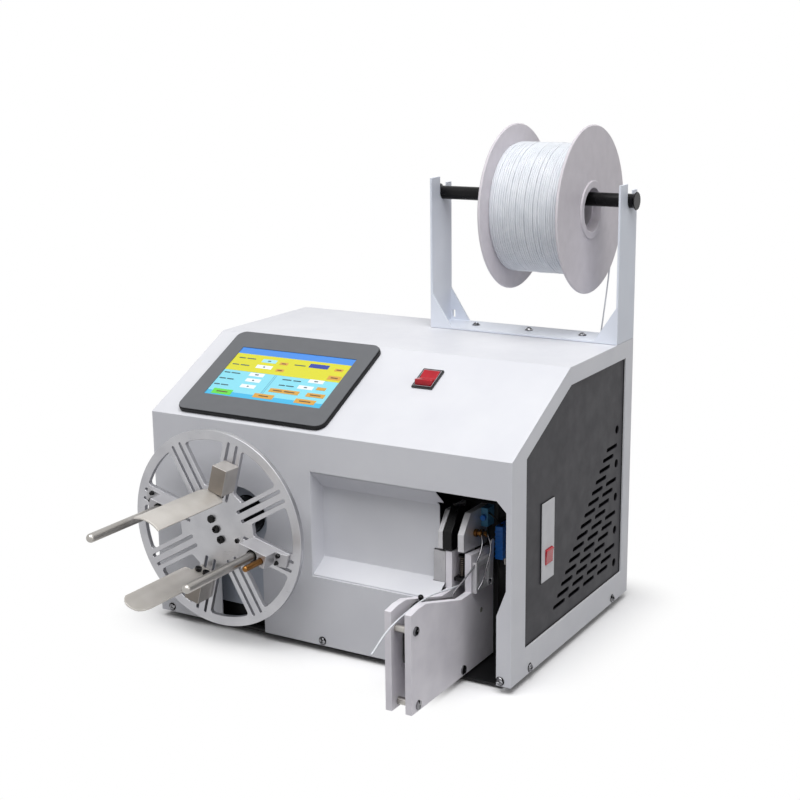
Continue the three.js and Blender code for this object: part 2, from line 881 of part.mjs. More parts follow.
// One opening between two spokes, with its four corners filleted
function wheelWindow(middle) {
  const w = wheel.spokeHalfWidth;
  const f = wheel.windowFillet;
  const halfStep = Math.PI / wheel.spokes;
  const R = wheel.radius - wheel.rim;
  const r = wheel.windowInner;
  const quarter = Math.PI / 2;
  const outerTurn = Math.asin((w + f) / (R - f));
  const innerTurn = Math.asin((w + f) / (r + f));
  const points = [];
  const corner = (distance, angle, from, to) => {
    points.push(...arc(distance * Math.cos(angle), distance * Math.sin(angle), f, from, to, 3));
  };
  const outer = halfStep - outerTurn;
  const inner = halfStep - innerTurn;
  points.push(...arc(0, 0, R, middle - outer, middle + outer, 6));
  points.pop();
  corner(R - f, middle + outer, middle + outer, middle + halfStep + quarter);
  corner(r + f, middle + inner, middle + halfStep + quarter, middle + inner + 2 * quarter);
  points.push(...arc(0, 0, r, middle + inner, middle - inner, 3).slice(1, -1));
  corner(r + f, middle - inner, middle - inner + 2 * quarter, middle - halfStep + 3 * quarter);
  corner(R - f, middle - outer, middle - halfStep - quarter, middle - outer);
  points.pop();
  return points;
}

function makeDisc() {
  const shape = new THREE.Shape();
  shape.absarc(0, 0, wheel.radius, 0, turn);
  const step = turn / wheel.spokes;
  for (let i = 0; i < wheel.spokes; i += 1) {
    const spoke = wheel.firstSpoke * degrees + i * step;
    shape.holes.push(shapeOf(wheelWindow(spoke + step / 2)));
    for (const t of [-wheel.slotOffset, wheel.slotOffset]) {
      const outline = slotOutline(wheel.slotInner, wheel.radius - wheel.slotEdge, t, wheel.slotWidth, 2);
      shape.holes.push(shapeOf(outline.map(([s, across]) => [
        s * Math.cos(spoke) - across * Math.sin(spoke),
        s * Math.sin(spoke) + across * Math.cos(spoke),
      ])));
    }
  }
  return alongY(shape, wheel.front, wheel.front + wheel.thickness, 40);
}

// The ends of a carrier's block along its spoke
function blockEnds(place) {
  const outer = wheel.radius - place.fromRim;
  return { inner: outer - place.length, outer, middle: outer - place.length / 2 };
}

function makePlateCarrier(place) {
  const { inner, outer } = blockEnds(place);
  const back = wheel.front - gap;
  return box(inner, outer, back - carrier.plateBlockDepth, back, place.middle - place.halfWidth,
    place.middle + place.halfWidth);
}

// A block on the wheel's front with a foot that runs out towards the rim
function makeRodCarrier(place, cuts = []) {
  const { inner, outer, middle } = blockEnds(place);
  const back = wheel.front - gap;
  const face = back - carrier.rodBlockDepth;
  const toe = wheel.radius - carrier.toeFromRim;
  const outline = [
    [toe, back],
    [toe, back - carrier.toeThickness],
    [toe - carrier.footThickness, back - carrier.footThickness],
    [outer, back - carrier.footThickness],
    [outer, face],
    [inner, face],
    [inner, back],
  ];
  const block = alongZ(outline, place.middle - place.halfWidth, place.middle + place.halfWidth);
  const recess = barY(rodRecess, face - overrun, face + rod.recessDepth, middle, place.middle);
  return joined([block], [recess, ...cuts]);
}

function pinBore() {
  const face = wheel.front - gap - carrier.rodBlockDepth;
  const s = blockEnds(rightCarrier).outer - pin.fromOuter;
  return barY(pin.radius + gap, face - overrun, face + pin.seat, s, pin.t);
}

// A rolled plate that the cable is wound on, its crown towards the carrier block
function makeCoilPlate(place, roundFront) {
  const { halfWidth, sag, thickness, arcSteps } = coilPlate;
  const crown = blockEnds(place).inner - gap;
  const radius = (halfWidth * halfWidth + sag * sag) / (2 * sag);
  const centre = crown - radius;
  const reach = Math.asin(halfWidth / radius);
  const outer = arc(centre, 0, radius, -reach, reach, arcSteps);
  const inner = arc(centre, 0, radius - thickness, reach, -reach, arcSteps);
  const back = wheel.front - gap;
  const body = alongY([...outer, ...inner], coilPlate.tip, back);
  const above = crown + overrun;
  const below = crown - sag - thickness - overrun;
  const cuts = [];
  for (const side of [-1, 1]) {
    cuts.push(mirroredCut(besideTongue(back + overrun), side, below, above));
    if (roundFront) cuts.push(mirroredCut(frontCorner(), side, below, above));
  }
  return joined([body], cuts);
}

// What is cut away beside the plate's tongue, as points of y and t
function besideTongue(end) {
  const { halfWidth, rear, rearCorner, tongueHalfWidth } = coilPlate;
  return [
    [rear, tongueHalfWidth],
    [end, tongueHalfWidth],
    [end, halfWidth + overrun],
    [rear - rearCorner, halfWidth + overrun],
    [rear - rearCorner, halfWidth],
    [rear, halfWidth - rearCorner],
  ];
}

// What a rounded front corner leaves of its square
function frontCorner() {
  const { halfWidth, corner, tip } = coilPlate;
  const t = halfWidth - corner;
  return [
    [tip - overrun, t],
    [tip - overrun, halfWidth + overrun],
    [tip + corner, halfWidth + overrun],
    ...arc(tip + corner, t, corner, Math.PI / 2, Math.PI, 5),
  ].reverse();
}

function mirroredCut(points, side, below, above) {
  const outline = points.map(([y, across]) => [y, side * across]);
  return alongX(side > 0 ? outline : outline.reverse(), below, above);
}

function makeRod(place) {
  const face = wheel.front - gap - carrier.rodBlockDepth;
  const seat = face + rod.recessDepth - gap;
  const ball = arc(0, rod.tip + rod.radius, rod.radius, -Math.PI / 2, 0, 5);
  ball[0][0] = 0;
  const body = turned([...ball, [rod.radius, seat], [0, seat]], smallSides);
  return body.translate(blockEnds(place).middle, 0, place.middle);
}

function makePin() {
  const face = wheel.front - gap - carrier.rodBlockDepth;
  const seat = face + pin.seat - gap;
  const tip = arc(0, pin.tip + pin.radius, pin.radius, -Math.PI / 2, 0, 4);
  tip[0][0] = 0;
  const s = blockEnds(rightCarrier).outer - pin.fromOuter;
  return turned([...tip, [pin.radius, seat], [0, seat]], smallSides).translate(s, 0, pin.t);
}

function makeWheel() {
  const group = new THREE.Group();
  group.position.set(wheelX, 0, wheel.z);
  machine.add(group);
  add(group, 'winding_disc', makeDisc(), aluminium);
  add(group, 'drive_hub', makeDriveHub(), dark);
  const arm = (place) => {
    const spoke = new THREE.Group();
    spoke.rotation.y = -place.angle * degrees;
    group.add(spoke);
    return spoke;
  };
  const top = arm(topCarrier);
  add(top, 'carrier_block_top', makePlateCarrier(topCarrier), aluminium);
  add(top, 'coil_plate_top', makeCoilPlate(topCarrier, false), steel);
  const bottom = arm(bottomCarrier);
  add(bottom, 'carrier_block_bottom', makePlateCarrier(bottomCarrier), aluminium);
  add(bottom, 'coil_plate_bottom', makeCoilPlate(bottomCarrier, true), steel);
  const right = arm(rightCarrier);
  add(right, 'carrier_block_right', makeRodCarrier(rightCarrier, [pinBore()]), aluminium);
  add(right, 'coil_rod_right', makeRod(rightCarrier), steel);
  add(right, 'clip_pin', makePin(), brass);
  const left = arm(leftCarrier);
  add(left, 'carrier_block_left', makeRodCarrier(leftCarrier), aluminium);
  add(left, 'coil_rod_left', makeRod(leftCarrier), steel);
}

function makeScreen() {
  const group = slopeGroup();
  const v1 = screen.bottom + screen.height;
  const frame = alongZ(roundedRectangle(screenLeft, screenRight, screen.bottom, v1, screen.corner),
    gap, screen.bezel);
  const body = box(
    screenLeft + screen.bodyInset,
    screenRight - screen.bodyInset,
    screen.bottom + screen.bodyInset,
    v1 - screen.bodyInset,
    -screen.bodyDepth,
    screen.bezel,
  );
  add(group, 'touch_screen_housing', joined([frame, body]), black);
  const inset = screen.glassInset;
  const pane = roundedRectangle(screenLeft + inset, screenRight - inset, screen.bottom + inset, v1 - inset,
    screen.corner - inset);
  const under = screen.bezel + gap;
  add(group, 'touch_screen_glass', alongZ(pane, under, under + screen.glass), glass);
}

// A rocker about x: round below, with a shallow dish between its two raised ends
function rockerShape(radius, riseShare) {
  const rise = Math.asin(riseShare);
  const below = Math.asin(rockerDepthShare);
  return [
    ...arc(0, 0, radius, -below, rise, 4),
    [0, radius * rockerDishShare],
    ...arc(0, 0, radius, Math.PI - rise, Math.PI + below, 4),
  ];
}

// The start switch's body with a well that the rocker turns in
function makeSwitchBody(wellHalfWidth, wellRadius) {
  const { bezel, bodyInset, bodyDepth } = startSwitch;
  const w = startSwitch.width / 2;
  const l = startSwitch.length / 2;
  const flange = box(-w, w, -l, l, gap, bezel);
  const body = box(-w + bodyInset, w - bodyInset, -l + bodyInset, l - bodyInset, -bodyDepth, bezel);
  const well = box(-wellHalfWidth, wellHalfWidth, -wellRadius, wellRadius, -wellRadius, bezel + overrun);
  return joined([flange, body], [well]);
}

function makeStartSwitch() {
  const s = startSwitch;
  const slope = slopeGroup();
  const group = new THREE.Group();
  group.position.set(screenRight + s.besideScreen, s.v, 0);
  slope.add(group);
  const halfWidth = s.width / 2 - s.bodyInset - s.sideWall - gap;
  const radius = s.length / 2 - s.bodyInset - s.endWall - gap;
  add(group, 'start_switch_body', makeSwitchBody(halfWidth + gap, radius + gap), black);
  const rocker = add(group, 'start_rocker',
    alongX(rockerShape(radius, s.rockerRiseShare), -halfWidth, halfWidth), red);
  rocker.rotation.x = -rockerTilt * degrees;
}

function makeBreaker() {
  const b = breaker;
  const face = half - shell.wall - gap;
  const y0 = b.front + b.bodyInset;
  const y1 = b.rear - b.bodyInset;
  const z0 = b.bottom + b.bodyInset;
  const z1 = b.top - b.bodyInset;
  const rockerY = b.rear - b.rockerFromRear;
  const rockerZ = b.bottom + b.rockerRise;
  const w = b.rockerWidth / 2 + gap;
  const h = b.rockerRadius + gap;
  const plate = box(face + gap, face + b.proud, b.front, b.rear, b.bottom, b.top);
  const body = box(face - b.bodyDepth, face + b.proud, y0, y1, z0, z1);
  const well = box(face + b.proud - b.wellDepth, face + b.proud + overrun, rockerY - w, rockerY + w,
    rockerZ - h, rockerZ + h);
  add(machine, 'breaker_body', joined([plate, body], [well]), white);
  const group = new THREE.Group();
  group.position.set(face + b.proud - b.rockerSink, rockerY, rockerZ);
  group.rotation.set(0, Math.PI / 2, 0);
  machine.add(group);
  const turnedUp = new THREE.Group();
  turnedUp.rotation.z = Math.PI / 2;
  group.add(turnedUp);
  const rocker = add(turnedUp, 'breaker_rocker',
    alongX(rockerShape(b.rockerRadius, b.rockerRiseShare), -b.rockerWidth / 2, b.rockerWidth / 2), red);
  rocker.rotation.x = rockerTilt * degrees;
}

function makeGuidePlates() {
  const g = guide;
  const outline = [
    [g.front, 0],
    [g.rear, 0],
    [g.rear, g.pillarTop - cheek.faceBottom + cheek.rearBottom],
    [g.pillarFront, g.pillarTop],
    [g.pillarFront, g.shoulder],
    [0, g.shoulder],
    [g.crownRear, g.crownTop],
    [g.crownFront, g.crownTop],
    [g.front, g.frontTop],
  ];
  const { pinRadius, pivotY, pivotZ } = hook;
  const bore = barX(pinRadius + gap, guideLeft - overrun, guideRight + overrun, pivotY, pivotZ);
  for (const [side, x0, x1] of [['left', guideLeft, slotLeft], ['right', slotRight, guideRight]]) {
    add(machine, `guide_plate_${side}`, joined([alongX(outline, x0, x1)], [bore]), aluminium);
  }
  const places = [
    ['upper', spacer.frontPlace, spacer.upper],
    ['lower', spacer.frontPlace + spacer.radius, spacer.lower],
    ['rear', spacer.rearPlace, spacer.lower],
  ];
  for (const [name, y, z] of places) {
    add(machine, `spacer_${name}`, barX(spacer.radius, slotLeft + gap, slotRight - gap, y, z), steel);
  }
}

// A band of even height along points of y and z
function ribbon(path, halfHeight) {
  const left = [];
  const right = [];
  path.forEach(([y, z], i) => {
    const [y0, z0] = path[Math.max(i - 1, 0)];
    const [y1, z1] = path[Math.min(i + 1, path.length - 1)];
    const length = Math.hypot(y1 - y0, z1 - z0);
    const ny = -(z1 - z0) / length * halfHeight;
    const nz = (y1 - y0) / length * halfHeight;
    left.push([y + ny, z + nz]);
    right.push([y - ny, z - nz]);
  });
  return [...right, ...left.reverse()];
}

function makeHook() {
  const h = hook;
  const along = Math.atan2(h.bandFrontZ - h.bandRearZ, h.bandFrontY - h.bandRearY);
  const noseY = h.bandFrontY + h.noseRadius * Math.cos(along + Math.PI / 2);
  const noseZ = h.bandFrontZ + h.noseRadius * Math.sin(along + Math.PI / 2);
  const path = [
    [h.pivotY, h.pivotZ],
    [h.bandRearY, h.bandRearZ],
    ...arc(noseY, noseZ, h.noseRadius, along - Math.PI / 2, Math.PI, h.noseSteps),
    [noseY - h.noseRadius, h.noseBottom],
  ];
  const x0 = slotLeft + h.sideGap;
  const x1 = slotRight - h.sideGap;
  const band = alongX(ribbon(path, h.halfHeight).reverse(), x0, x1);
  const boss = barX(h.bossRadius, x0, x1, h.pivotY, h.pivotZ);
  const ballX = x0 + h.ballRadius - h.ballOverhang;
  const ball = new THREE.SphereGeometry(h.ballRadius, 10, 6).translate(ballX, h.bandFrontY, h.ballZ);
  const neck = barZ(h.neckRadius, h.bandFrontZ, h.ballZ, ballX, h.bandFrontY, 10);
  const bore = barX(h.pinRadius + gap, x0 - overrun, x1 + overrun, h.pivotY, h.pivotZ);
  add(machine, 'hook_arm', joined([band, boss, ball, neck], [bore]), black);
  add(machine, 'hook_pin', barX(h.pinRadius, guideLeft, guideRight, h.pivotY, h.pivotZ), steel);
}

function cheekOutline() {
  const c = cheek;
  return [
    [c.front, c.faceBottom],
    [c.rear, c.rearBottom + gap],
    [c.rear, c.top],
    [c.bevelRear, c.top],
    [c.front, c.faceTop],
  ];
}

function makeTyingHead() {
  const c = cheek;
  const cheekFace = cheekLeft + c.leftThickness;
  const rightCheek = slotLeft + c.inSlot;
  const floor = tray.floor - tray.drop + gap;
  add(machine, 'cheek_left', alongX(cheekOutline(), cheekLeft, cheekFace), aluminium);
  const jawBore = barX(jaw.pinRadius + gap, cheekLeft, slotRight, jaw.pivotY, jaw.pivotZ);
  add(machine, 'cheek_right', joined([alongX(cheekOutline(), rightCheek, slotRight - gap)], [jawBore]),
    aluminium);
  const jawLeft = cheekFace + gap;
  const jawRight = jawLeft + jaw.thickness;
  const heel = c.rear - gap - jaw.pivotY;
  const outline = [
    [c.front, c.faceBottom],
    [jaw.pivotY, c.rearBottom + jaw.heelRise],
    ...arc(jaw.pivotY, jaw.pivotZ, heel, -Math.PI / 4, Math.PI / 4, jaw.arcSteps),
    [jaw.pivotY, jaw.crown - jaw.crownFall],
    [jaw.crownFront, jaw.crown],
    [c.bevelRear, c.top],
    [c.front, c.faceTop],
  ];
  add(machine, 'clamp_jaw', joined([alongX(outline, jawLeft, jawRight)], [jawBore.clone()]), black);
  add(machine, 'jaw_pin', barX(jaw.pinRadius, jawLeft, slotRight - gap, jaw.pivotY, jaw.pivotZ), steel);
  const blockRear = guide.pillarFront + sideBlock.depth;
  const fall = (c.faceBottom - c.rearBottom) * sideBlock.depth / (c.rear - c.front);
  add(machine, 'side_block', alongX([
    [guide.pillarFront, sideBlock.bottom],
    [blockRear, sideBlock.bottom],
    [blockRear, sideBlock.top - fall],
    [guide.pillarFront, sideBlock.top],
  ], sideBlockLeft, openingLeft), aluminium);
  const f = sideFrame;
  const frameLeft = guideRight + gap;
  const frameRight = frameLeft + f.thickness;
  add(machine, 'side_frame', joined([box(frameLeft, frameRight, f.front, f.rear, f.bottom, f.top)], [box(
    frameLeft - overrun,
    frameRight + overrun,
    f.front + f.border,
    f.rear - f.border,
    f.bottom + f.border,
    f.top - f.border,
  )]), aluminium);
  add(machine, 'tying_head_body', box(guideLeft - headBody.leftReach, headBodyRight, c.rear + gap,
    headBody.rear, floor, headBody.top), black);
  const nozzles = [['front', nozzle.frontY, nozzle.frontZ], ['rear', nozzle.rearY, nozzle.rearZ]];
  for (const [name, y, z] of nozzles) {
    add(machine, `nozzle_${name}`, barX(nozzle.radius, slotRight, slotRight + nozzle.length, y, z), brass);
  }
  add(machine, 'air_block', box(slotRight + gap, slotRight + gap + airBlock.width, c.rear - airBlock.depth,
    c.rear, airBlock.bottom, airBlock.top), lightBlue);
  const coilLeft = headBodyRight + gap;
  add(machine, 'solenoid', box(coilLeft, coilLeft + solenoid.width, solenoid.front, solenoid.rear,
    solenoid.bottom, solenoid.top), blue);
}

// A return spring round its post, standing on a seat between the guide plates
function makeSpring() {
  const s = spring;
  const p = springPost;
  const seatTop = s.bottom - gap;
  const seat = box(slotLeft + gap, slotRight - gap, s.place - p.seatDepth / 2, s.place + p.seatDepth / 2,
    seatTop - p.seatHeight, seatTop);
  const post = barZ(p.radius, seatTop - p.sink, s.top + p.headHeight, slotMiddle, s.place);
  const head = barZ(p.headRadius, s.top + gap, s.top + gap + p.headHeight, slotMiddle, s.place);
  add(machine, 'spring_post', joined([seat, post, head]), dark);
  const points = [];
  const steps = 8;
  const r = s.radius - s.wire / 2;
  const bottom = s.bottom + s.wire / 2;
  const rise = s.top - s.bottom - s.wire;
  for (let i = 0; i <= s.curls * steps; i += 1) {
    const angle = turn * i / steps;
    points.push([
      slotMiddle + r * Math.cos(angle),
      s.place + r * Math.sin(angle),
      bottom + rise * i / (s.curls * steps),
    ]);
  }
  add(machine, 'return_spring', springTube(points, s.wire / 2), steel);
}

// A tube along a helix about z, with five sides
function springTube(points, radius) {
  const flipped = points.map(([x, y, z]) => [z, x, y]);
  const geometry = tube(flipped, radius, 5);
  const basis = new THREE.Matrix4().makeBasis(
    new THREE.Vector3(0, 0, 1),
    new THREE.Vector3(1, 0, 0),
    new THREE.Vector3(0, 1, 0),
  );
  return geometry.applyMatrix4(basis);
}

function makeStand() {
  const s = stand;
  const bottom = shell.height + gap;
  const top = bottom + s.sheet;
  const rear = shell.depth;
  const slotRadius = spoolRod.radius + s.rodGap;
  const slotBottom = rodZ - spoolRod.radius - gap;
  const slotCentre = slotBottom + slotRadius;
  const slotFront = rodY - slotRadius;
  const slotRear = rodY + slotRadius;
  const upright = [
    ...arc(rear - s.corner, bottom + s.corner, s.corner, -Math.PI / 2, 0, 4),
    [rear, slotBottom + s.rearProng],
    [slotRear, slotBottom + s.rearProng],
    [slotRear, slotCentre],
    ...arc(rodY, slotCentre, slotRadius, 0, -Math.PI, 10).slice(1, -1),
    [slotFront, slotCentre],
    [slotFront, slotBottom + s.frontProng],
    [standFront, slotBottom + s.frontProng],
    [standFront, bottom],
  ];
  const parts = [box(standLeft, standRight, standFront, rear, bottom, top)];
  parts.push(alongX(upright, standLeft, standLeft + s.sheet));
  parts.push(alongX(upright, standRight - s.sheet, standRight));
  for (const y0 of [standFront, rear - s.sheet]) {
    for (const [x, way] of [[standLeft, 1], [standRight, -1]]) {
      const outline = [
        [x, bottom],
        [x + way * (s.sheet + s.gussetWidth), bottom],
        [x + way * (s.sheet + s.gussetWidth), top],
        [x + way * s.sheet, top + s.gussetHeight],
        [x, top + s.gussetHeight],
      ];
      parts.push(alongY(way > 0 ? outline : outline.reverse(), y0, y0 + s.sheet));
    }
  }
  const reliefLeft = standLeft + s.sheet + s.reliefWidth;
  const relief = box(reliefLeft, reliefLeft + s.reliefWidth, rear - s.sheet - overrun, rear + overrun,
    top + s.reliefWidth, top + s.reliefHeight);
  return joined(parts, [relief]);
}

function makeSpoolRod() {
  const r = spoolRod;
  const profile = [
    [0, rodLeft],
    [r.capRadius, rodLeft],
    [r.radius, standLeft - gap],
    [r.radius, rodRight - r.neckLength],
    [r.capRadius, rodRight],
    [0, rodRight],
  ];
  return turned(profile, 24).rotateZ(-Math.PI / 2).translate(0, rodY, rodZ);
}

function makeSpool() {
  const { boreRadius, flange, flangeRadius, bossHeight } = spool;
  const face = spool.width / 2;
  const inner = face - flange;
  const mouth = face - spool.mouthDepth;
  const profile = [
    [boreRadius, -mouth],
    [mouthRadius, -mouth],
    [mouthRadius, -face - bossHeight],
    [bossRadius, -face - bossHeight],
    [bossRadius, -face],
    [flangeRadius, -face],
    [flangeRadius, -inner],
    [barrelRadius, -inner],
    [barrelRadius, inner],
    [flangeRadius, inner],
    [flangeRadius, face],
    [bossRadius, face],
    [bossRadius, face + bossHeight],
    [mouthRadius, face + bossHeight],
    [mouthRadius, mouth],
    [boreRadius, mouth],
    [boreRadius, -mouth],
  ];
  return turned(profile).rotateZ(-Math.PI / 2);
}

// The outer layer of the winding: one helix of round wire, with a straight length at each end
function windingPath() {
  const w = winding;
  const r = windingRadius - windingWire / 2;
  const span = windingWidth - windingWire;
  const count = w.loops * w.steps;
  const points = [];
  for (let i = 0; i <= count; i += 1) {
    const angle = -turn * i / w.steps;
    points.push([-span / 2 + span * i / count, r * Math.cos(angle), r * Math.sin(angle)]);
  }
  points.unshift([-span / 2, r, windingWire]);
  points.push([span / 2, r, -windingWire]);
  return points;
}

// The least distance between the wire's turns, measured on points of its path
function leastGap(points, wire, steps) {
  let least = Infinity;
  for (let i = 0; i < points.length; i += 1) {
    for (let j = i + steps / 2; j < Math.min(points.length, i + 2 * steps); j += 1) {
      const a = points[i];
      const b = points[j];
      least = Math.min(least, Math.hypot(a[0] - b[0], a[1] - b[1], a[2] - b[2]));
    }
  }
  return least - wire;
}

function makeSpoolGroup() {
  const group = new THREE.Group();
  group.position.set(spoolX, rodY, spoolZ);
  machine.add(group);
  add(group, 'spool', makeSpool(), spoolPlastic);
  const inner = windingWidth / 2;
  const flat = Math.cos(Math.PI / winding.steps);
  const coreRadius = (windingRadius - windingWire / 2) * flat - windingWire / 2 - gap;
  const core = [
    [barrelRadius + gap, -inner],
    [coreRadius, -inner],
    [coreRadius, inner],
    [barrelRadius + gap, inner],
    [barrelRadius + gap, -inner],
  ];
  add(group, 'wire_pack', turned(core).rotateZ(-Math.PI / 2), wirePlastic);
  const path = windingPath();
  const least = leastGap(path, windingWire, winding.steps);
  console.log(`winding, least gap between turns ${least.toFixed(2)} mm`);
  add(group, 'wire_winding', tube(path, windingWire / 2, winding.sides), wirePlastic);
}

function makeWires() {
  const route = (points, origin) => {
    const places = points.map((p) => new THREE.Vector3(...p).add(origin));
    const curve = new THREE.CatmullRomCurve3(places, false, 'centripetal');
    return curve.getPoints(36).map((p) => p.toArray());
  };
  const tail = route(tieTail, new THREE.Vector3(guideLeft, 0, 0));
  const feed = route(feedWire, new THREE.Vector3(half, shell.depth, shell.height));
  add(machine, 'tie_wire', tube(tail, tieWireRadius, tieWireSides), wirePlastic);
  add(machine, 'feed_wire', tube(feed, tieWireRadius, tieWireSides), wirePlastic);
}

add(machine, 'cover', makeCover(), white);
add(machine, 'pocket_liner', makePocket(), white);
add(machine, 'side_panel_left', makeSidePanel(-1), dark);
add(machine, 'side_panel_right', makeSidePanel(1), dark);
add(machine, 'rear_panel', makeRearPanel(), dark);
add(machine, 'power_inlet', makeInlet(), black);
add(machine, 'wire_grommet', makeGrommet(), black);
add(machine, 'base_tray', makeTray(), black);
for (const [name, x, y] of [
  ['front_left', foot.inset - half, foot.inset],
  ['front_right', half - foot.inset, foot.inset],
  ['rear_left', foot.inset - half, shell.depth - foot.inset],
  ['rear_right', half - foot.inset, shell.depth - foot.inset],
]) {
  add(machine, `foot_${name}`, barZ(foot.radius, -tray.drop - foot.height, -tray.drop, x, y), black);
}
add(machine, 'motor_plate', makeMotorPlate(), steel);
add(machine, 'motor_bracket', makeMotorBracket(), black);
add(machine, 'bearing_housing', makeBearing(), black);
add(machine, 'winding_motor', makeMotor(), dark);
makeWheel();
makeScreen();
makeStartSwitch();
makeBreaker();
makeGuidePlates();
makeHook();
makeTyingHead();
makeSpring();
add(machine, 'spool_stand', makeStand(), white);
add(machine, 'spool_rod', makeSpoolRod(), black);
makeSpoolGroup();
makeWires();

// The origin is on the ground, below the middle of the whole machine
machine.position.set(
  (half - rodRight) / 2,
  -(rod.tip + rodY + spool.flangeRadius) / 2,
  tray.drop + foot.height,
);

export default part;
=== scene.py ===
import math
import bmesh
import bpy
from mathutils import Matrix, Vector, geometry, noise


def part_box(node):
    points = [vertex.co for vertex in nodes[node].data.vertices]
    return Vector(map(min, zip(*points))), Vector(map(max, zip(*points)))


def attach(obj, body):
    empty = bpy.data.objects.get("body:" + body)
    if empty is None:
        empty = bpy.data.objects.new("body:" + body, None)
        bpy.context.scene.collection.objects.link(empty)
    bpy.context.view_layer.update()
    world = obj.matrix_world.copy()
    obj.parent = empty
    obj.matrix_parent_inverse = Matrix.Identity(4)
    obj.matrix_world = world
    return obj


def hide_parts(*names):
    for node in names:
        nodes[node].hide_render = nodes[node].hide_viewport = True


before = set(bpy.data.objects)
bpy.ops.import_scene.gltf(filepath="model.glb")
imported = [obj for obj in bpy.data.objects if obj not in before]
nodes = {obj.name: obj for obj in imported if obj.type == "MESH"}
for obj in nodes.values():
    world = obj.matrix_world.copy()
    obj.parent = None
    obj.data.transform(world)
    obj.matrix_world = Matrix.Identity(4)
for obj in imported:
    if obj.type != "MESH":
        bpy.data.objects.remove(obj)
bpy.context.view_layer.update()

# Lengths are in millimetres from here on: x from the cover's middle, y back from its front face,
# z up from its lower edge. machineFrame turns them into the frame's metres.
millimetre = 0.001
coverLow, coverHigh = (Vector(corner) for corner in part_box("cover"))
coverOrigin = Vector(((coverLow.x + coverHigh.x) / 2, coverLow.y, coverLow.z))
machineFrame = Matrix.Translation(coverOrigin) @ Matrix.Scale(millimetre, 4)
toMachine = machineFrame.inverted()
alongY = Matrix.Rotation(math.pi / 2, 4, "X")  # turns +z to -y, out of the machine's front
alongX = Matrix.Rotation(math.pi / 2, 4, "Y")  # turns +z to +x
upright = Matrix(((0, 0, 1, 0), (1, 0, 0, 0), (0, 1, 0, 0), (0, 0, 0, 1)))  # a sheet's x, y, z to y, z, x


def at(x=0, y=0, z=0):
    return machineFrame @ Matrix.Translation((x, y, z))


def boxOf(node):  # a CAD node's lowest and highest corners in machine millimetres
    low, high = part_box(node)
    return toMachine @ low, toMachine @ high


def middleOf(node):
    low, high = boxOf(node)
    return (low + high) / 2


cover = {"frontHeight": 242.6, "height": 313.0, "slopeRun": 140.0, "depth": 320.0, "halfWidth": 230.0}
slopeAngle = math.atan2(cover["height"] - cover["frontHeight"], cover["slopeRun"])
slopeFrame = at(z=cover["frontHeight"]) @ Matrix.Rotation(slopeAngle, 4, "X")
wheelCentre = middleOf("winding_disc")
wheelFrame = at(wheelCentre.x, 0, wheelCentre.z)
discFront, discBack = (corner.y for corner in boxOf("winding_disc"))
spoolFrame = machineFrame @ Matrix.Translation(middleOf("spool"))


def spokeFrame(degrees):  # x out along the spoke, z across it counter-clockwise
    return wheelFrame @ Matrix.Rotation(-math.radians(degrees), 4, "Y")


def linked(piece):
    bpy.context.scene.collection.objects.link(piece)
    return piece


# Camera at the photograph's place
cameraValues = {"place": (846.1, -1266.7, 650.6), "azimuth": 30.46, "elevation": 13.68, "roll": -0.65,
        "lens": 66.01, "sensor": 36.0, "near": 0.05, "far": 20}


def makeCamera():
    v = cameraValues
    data = bpy.data.cameras.new("camera")
    camera = linked(bpy.data.objects.new("camera", data))
    azimuth, elevation, roll = (math.radians(v[key]) for key in ("azimuth", "elevation", "roll"))
    back = Vector((math.sin(azimuth) * math.cos(elevation),
            -math.cos(azimuth) * math.cos(elevation), math.sin(elevation)))
    right = (-back).cross(Vector((0, 0, 1))).normalized()
    up = right.cross(-back)
    xAxis = right * math.cos(roll) + up * math.sin(roll)
    yAxis = up * math.cos(roll) - right * math.sin(roll)
    turn = Matrix((xAxis, yAxis, back)).transposed().to_4x4()
    camera.matrix_world = Matrix.Translation(machineFrame @ Vector(v["place"])) @ turn
    data.lens, data.sensor_width = v["lens"], v["sensor"]
    data.clip_start, data.clip_end = v["near"], v["far"]
    bpy.context.scene.camera = camera


makeCamera()
print("camera placed")


# Materials

def hexColor(code):  # an sRGB hex colour as linear RGBA
    channels = [int(code[i:i + 2], 16) / 255 for i in (1, 3, 5)]
    return [c / 12.92 if c <= 0.04045 else ((c + 0.055) / 1.055) ** 2.4 for c in channels] + [1.0]


def setInputs(tree, node, inputs):  # a socket is linked, anything else is the input's own value
    for key, value in inputs.items():
        if isinstance(value, bpy.types.NodeSocket):
            tree.links.new(value, node.inputs[key])
        else:
            node.inputs[key].default_value = value


def addNode(tree, kind, inputs=None, **settings):
    node = tree.nodes.new(kind)
    for key, value in settings.items():
        setattr(node, key, value)
    setInputs(tree, node, inputs or {})
    return node


def newMaterial(name):
    material = bpy.data.materials.new(name)
    material.use_nodes = True
    return material, material.node_tree, material.node_tree.nodes["Principled BSDF"]


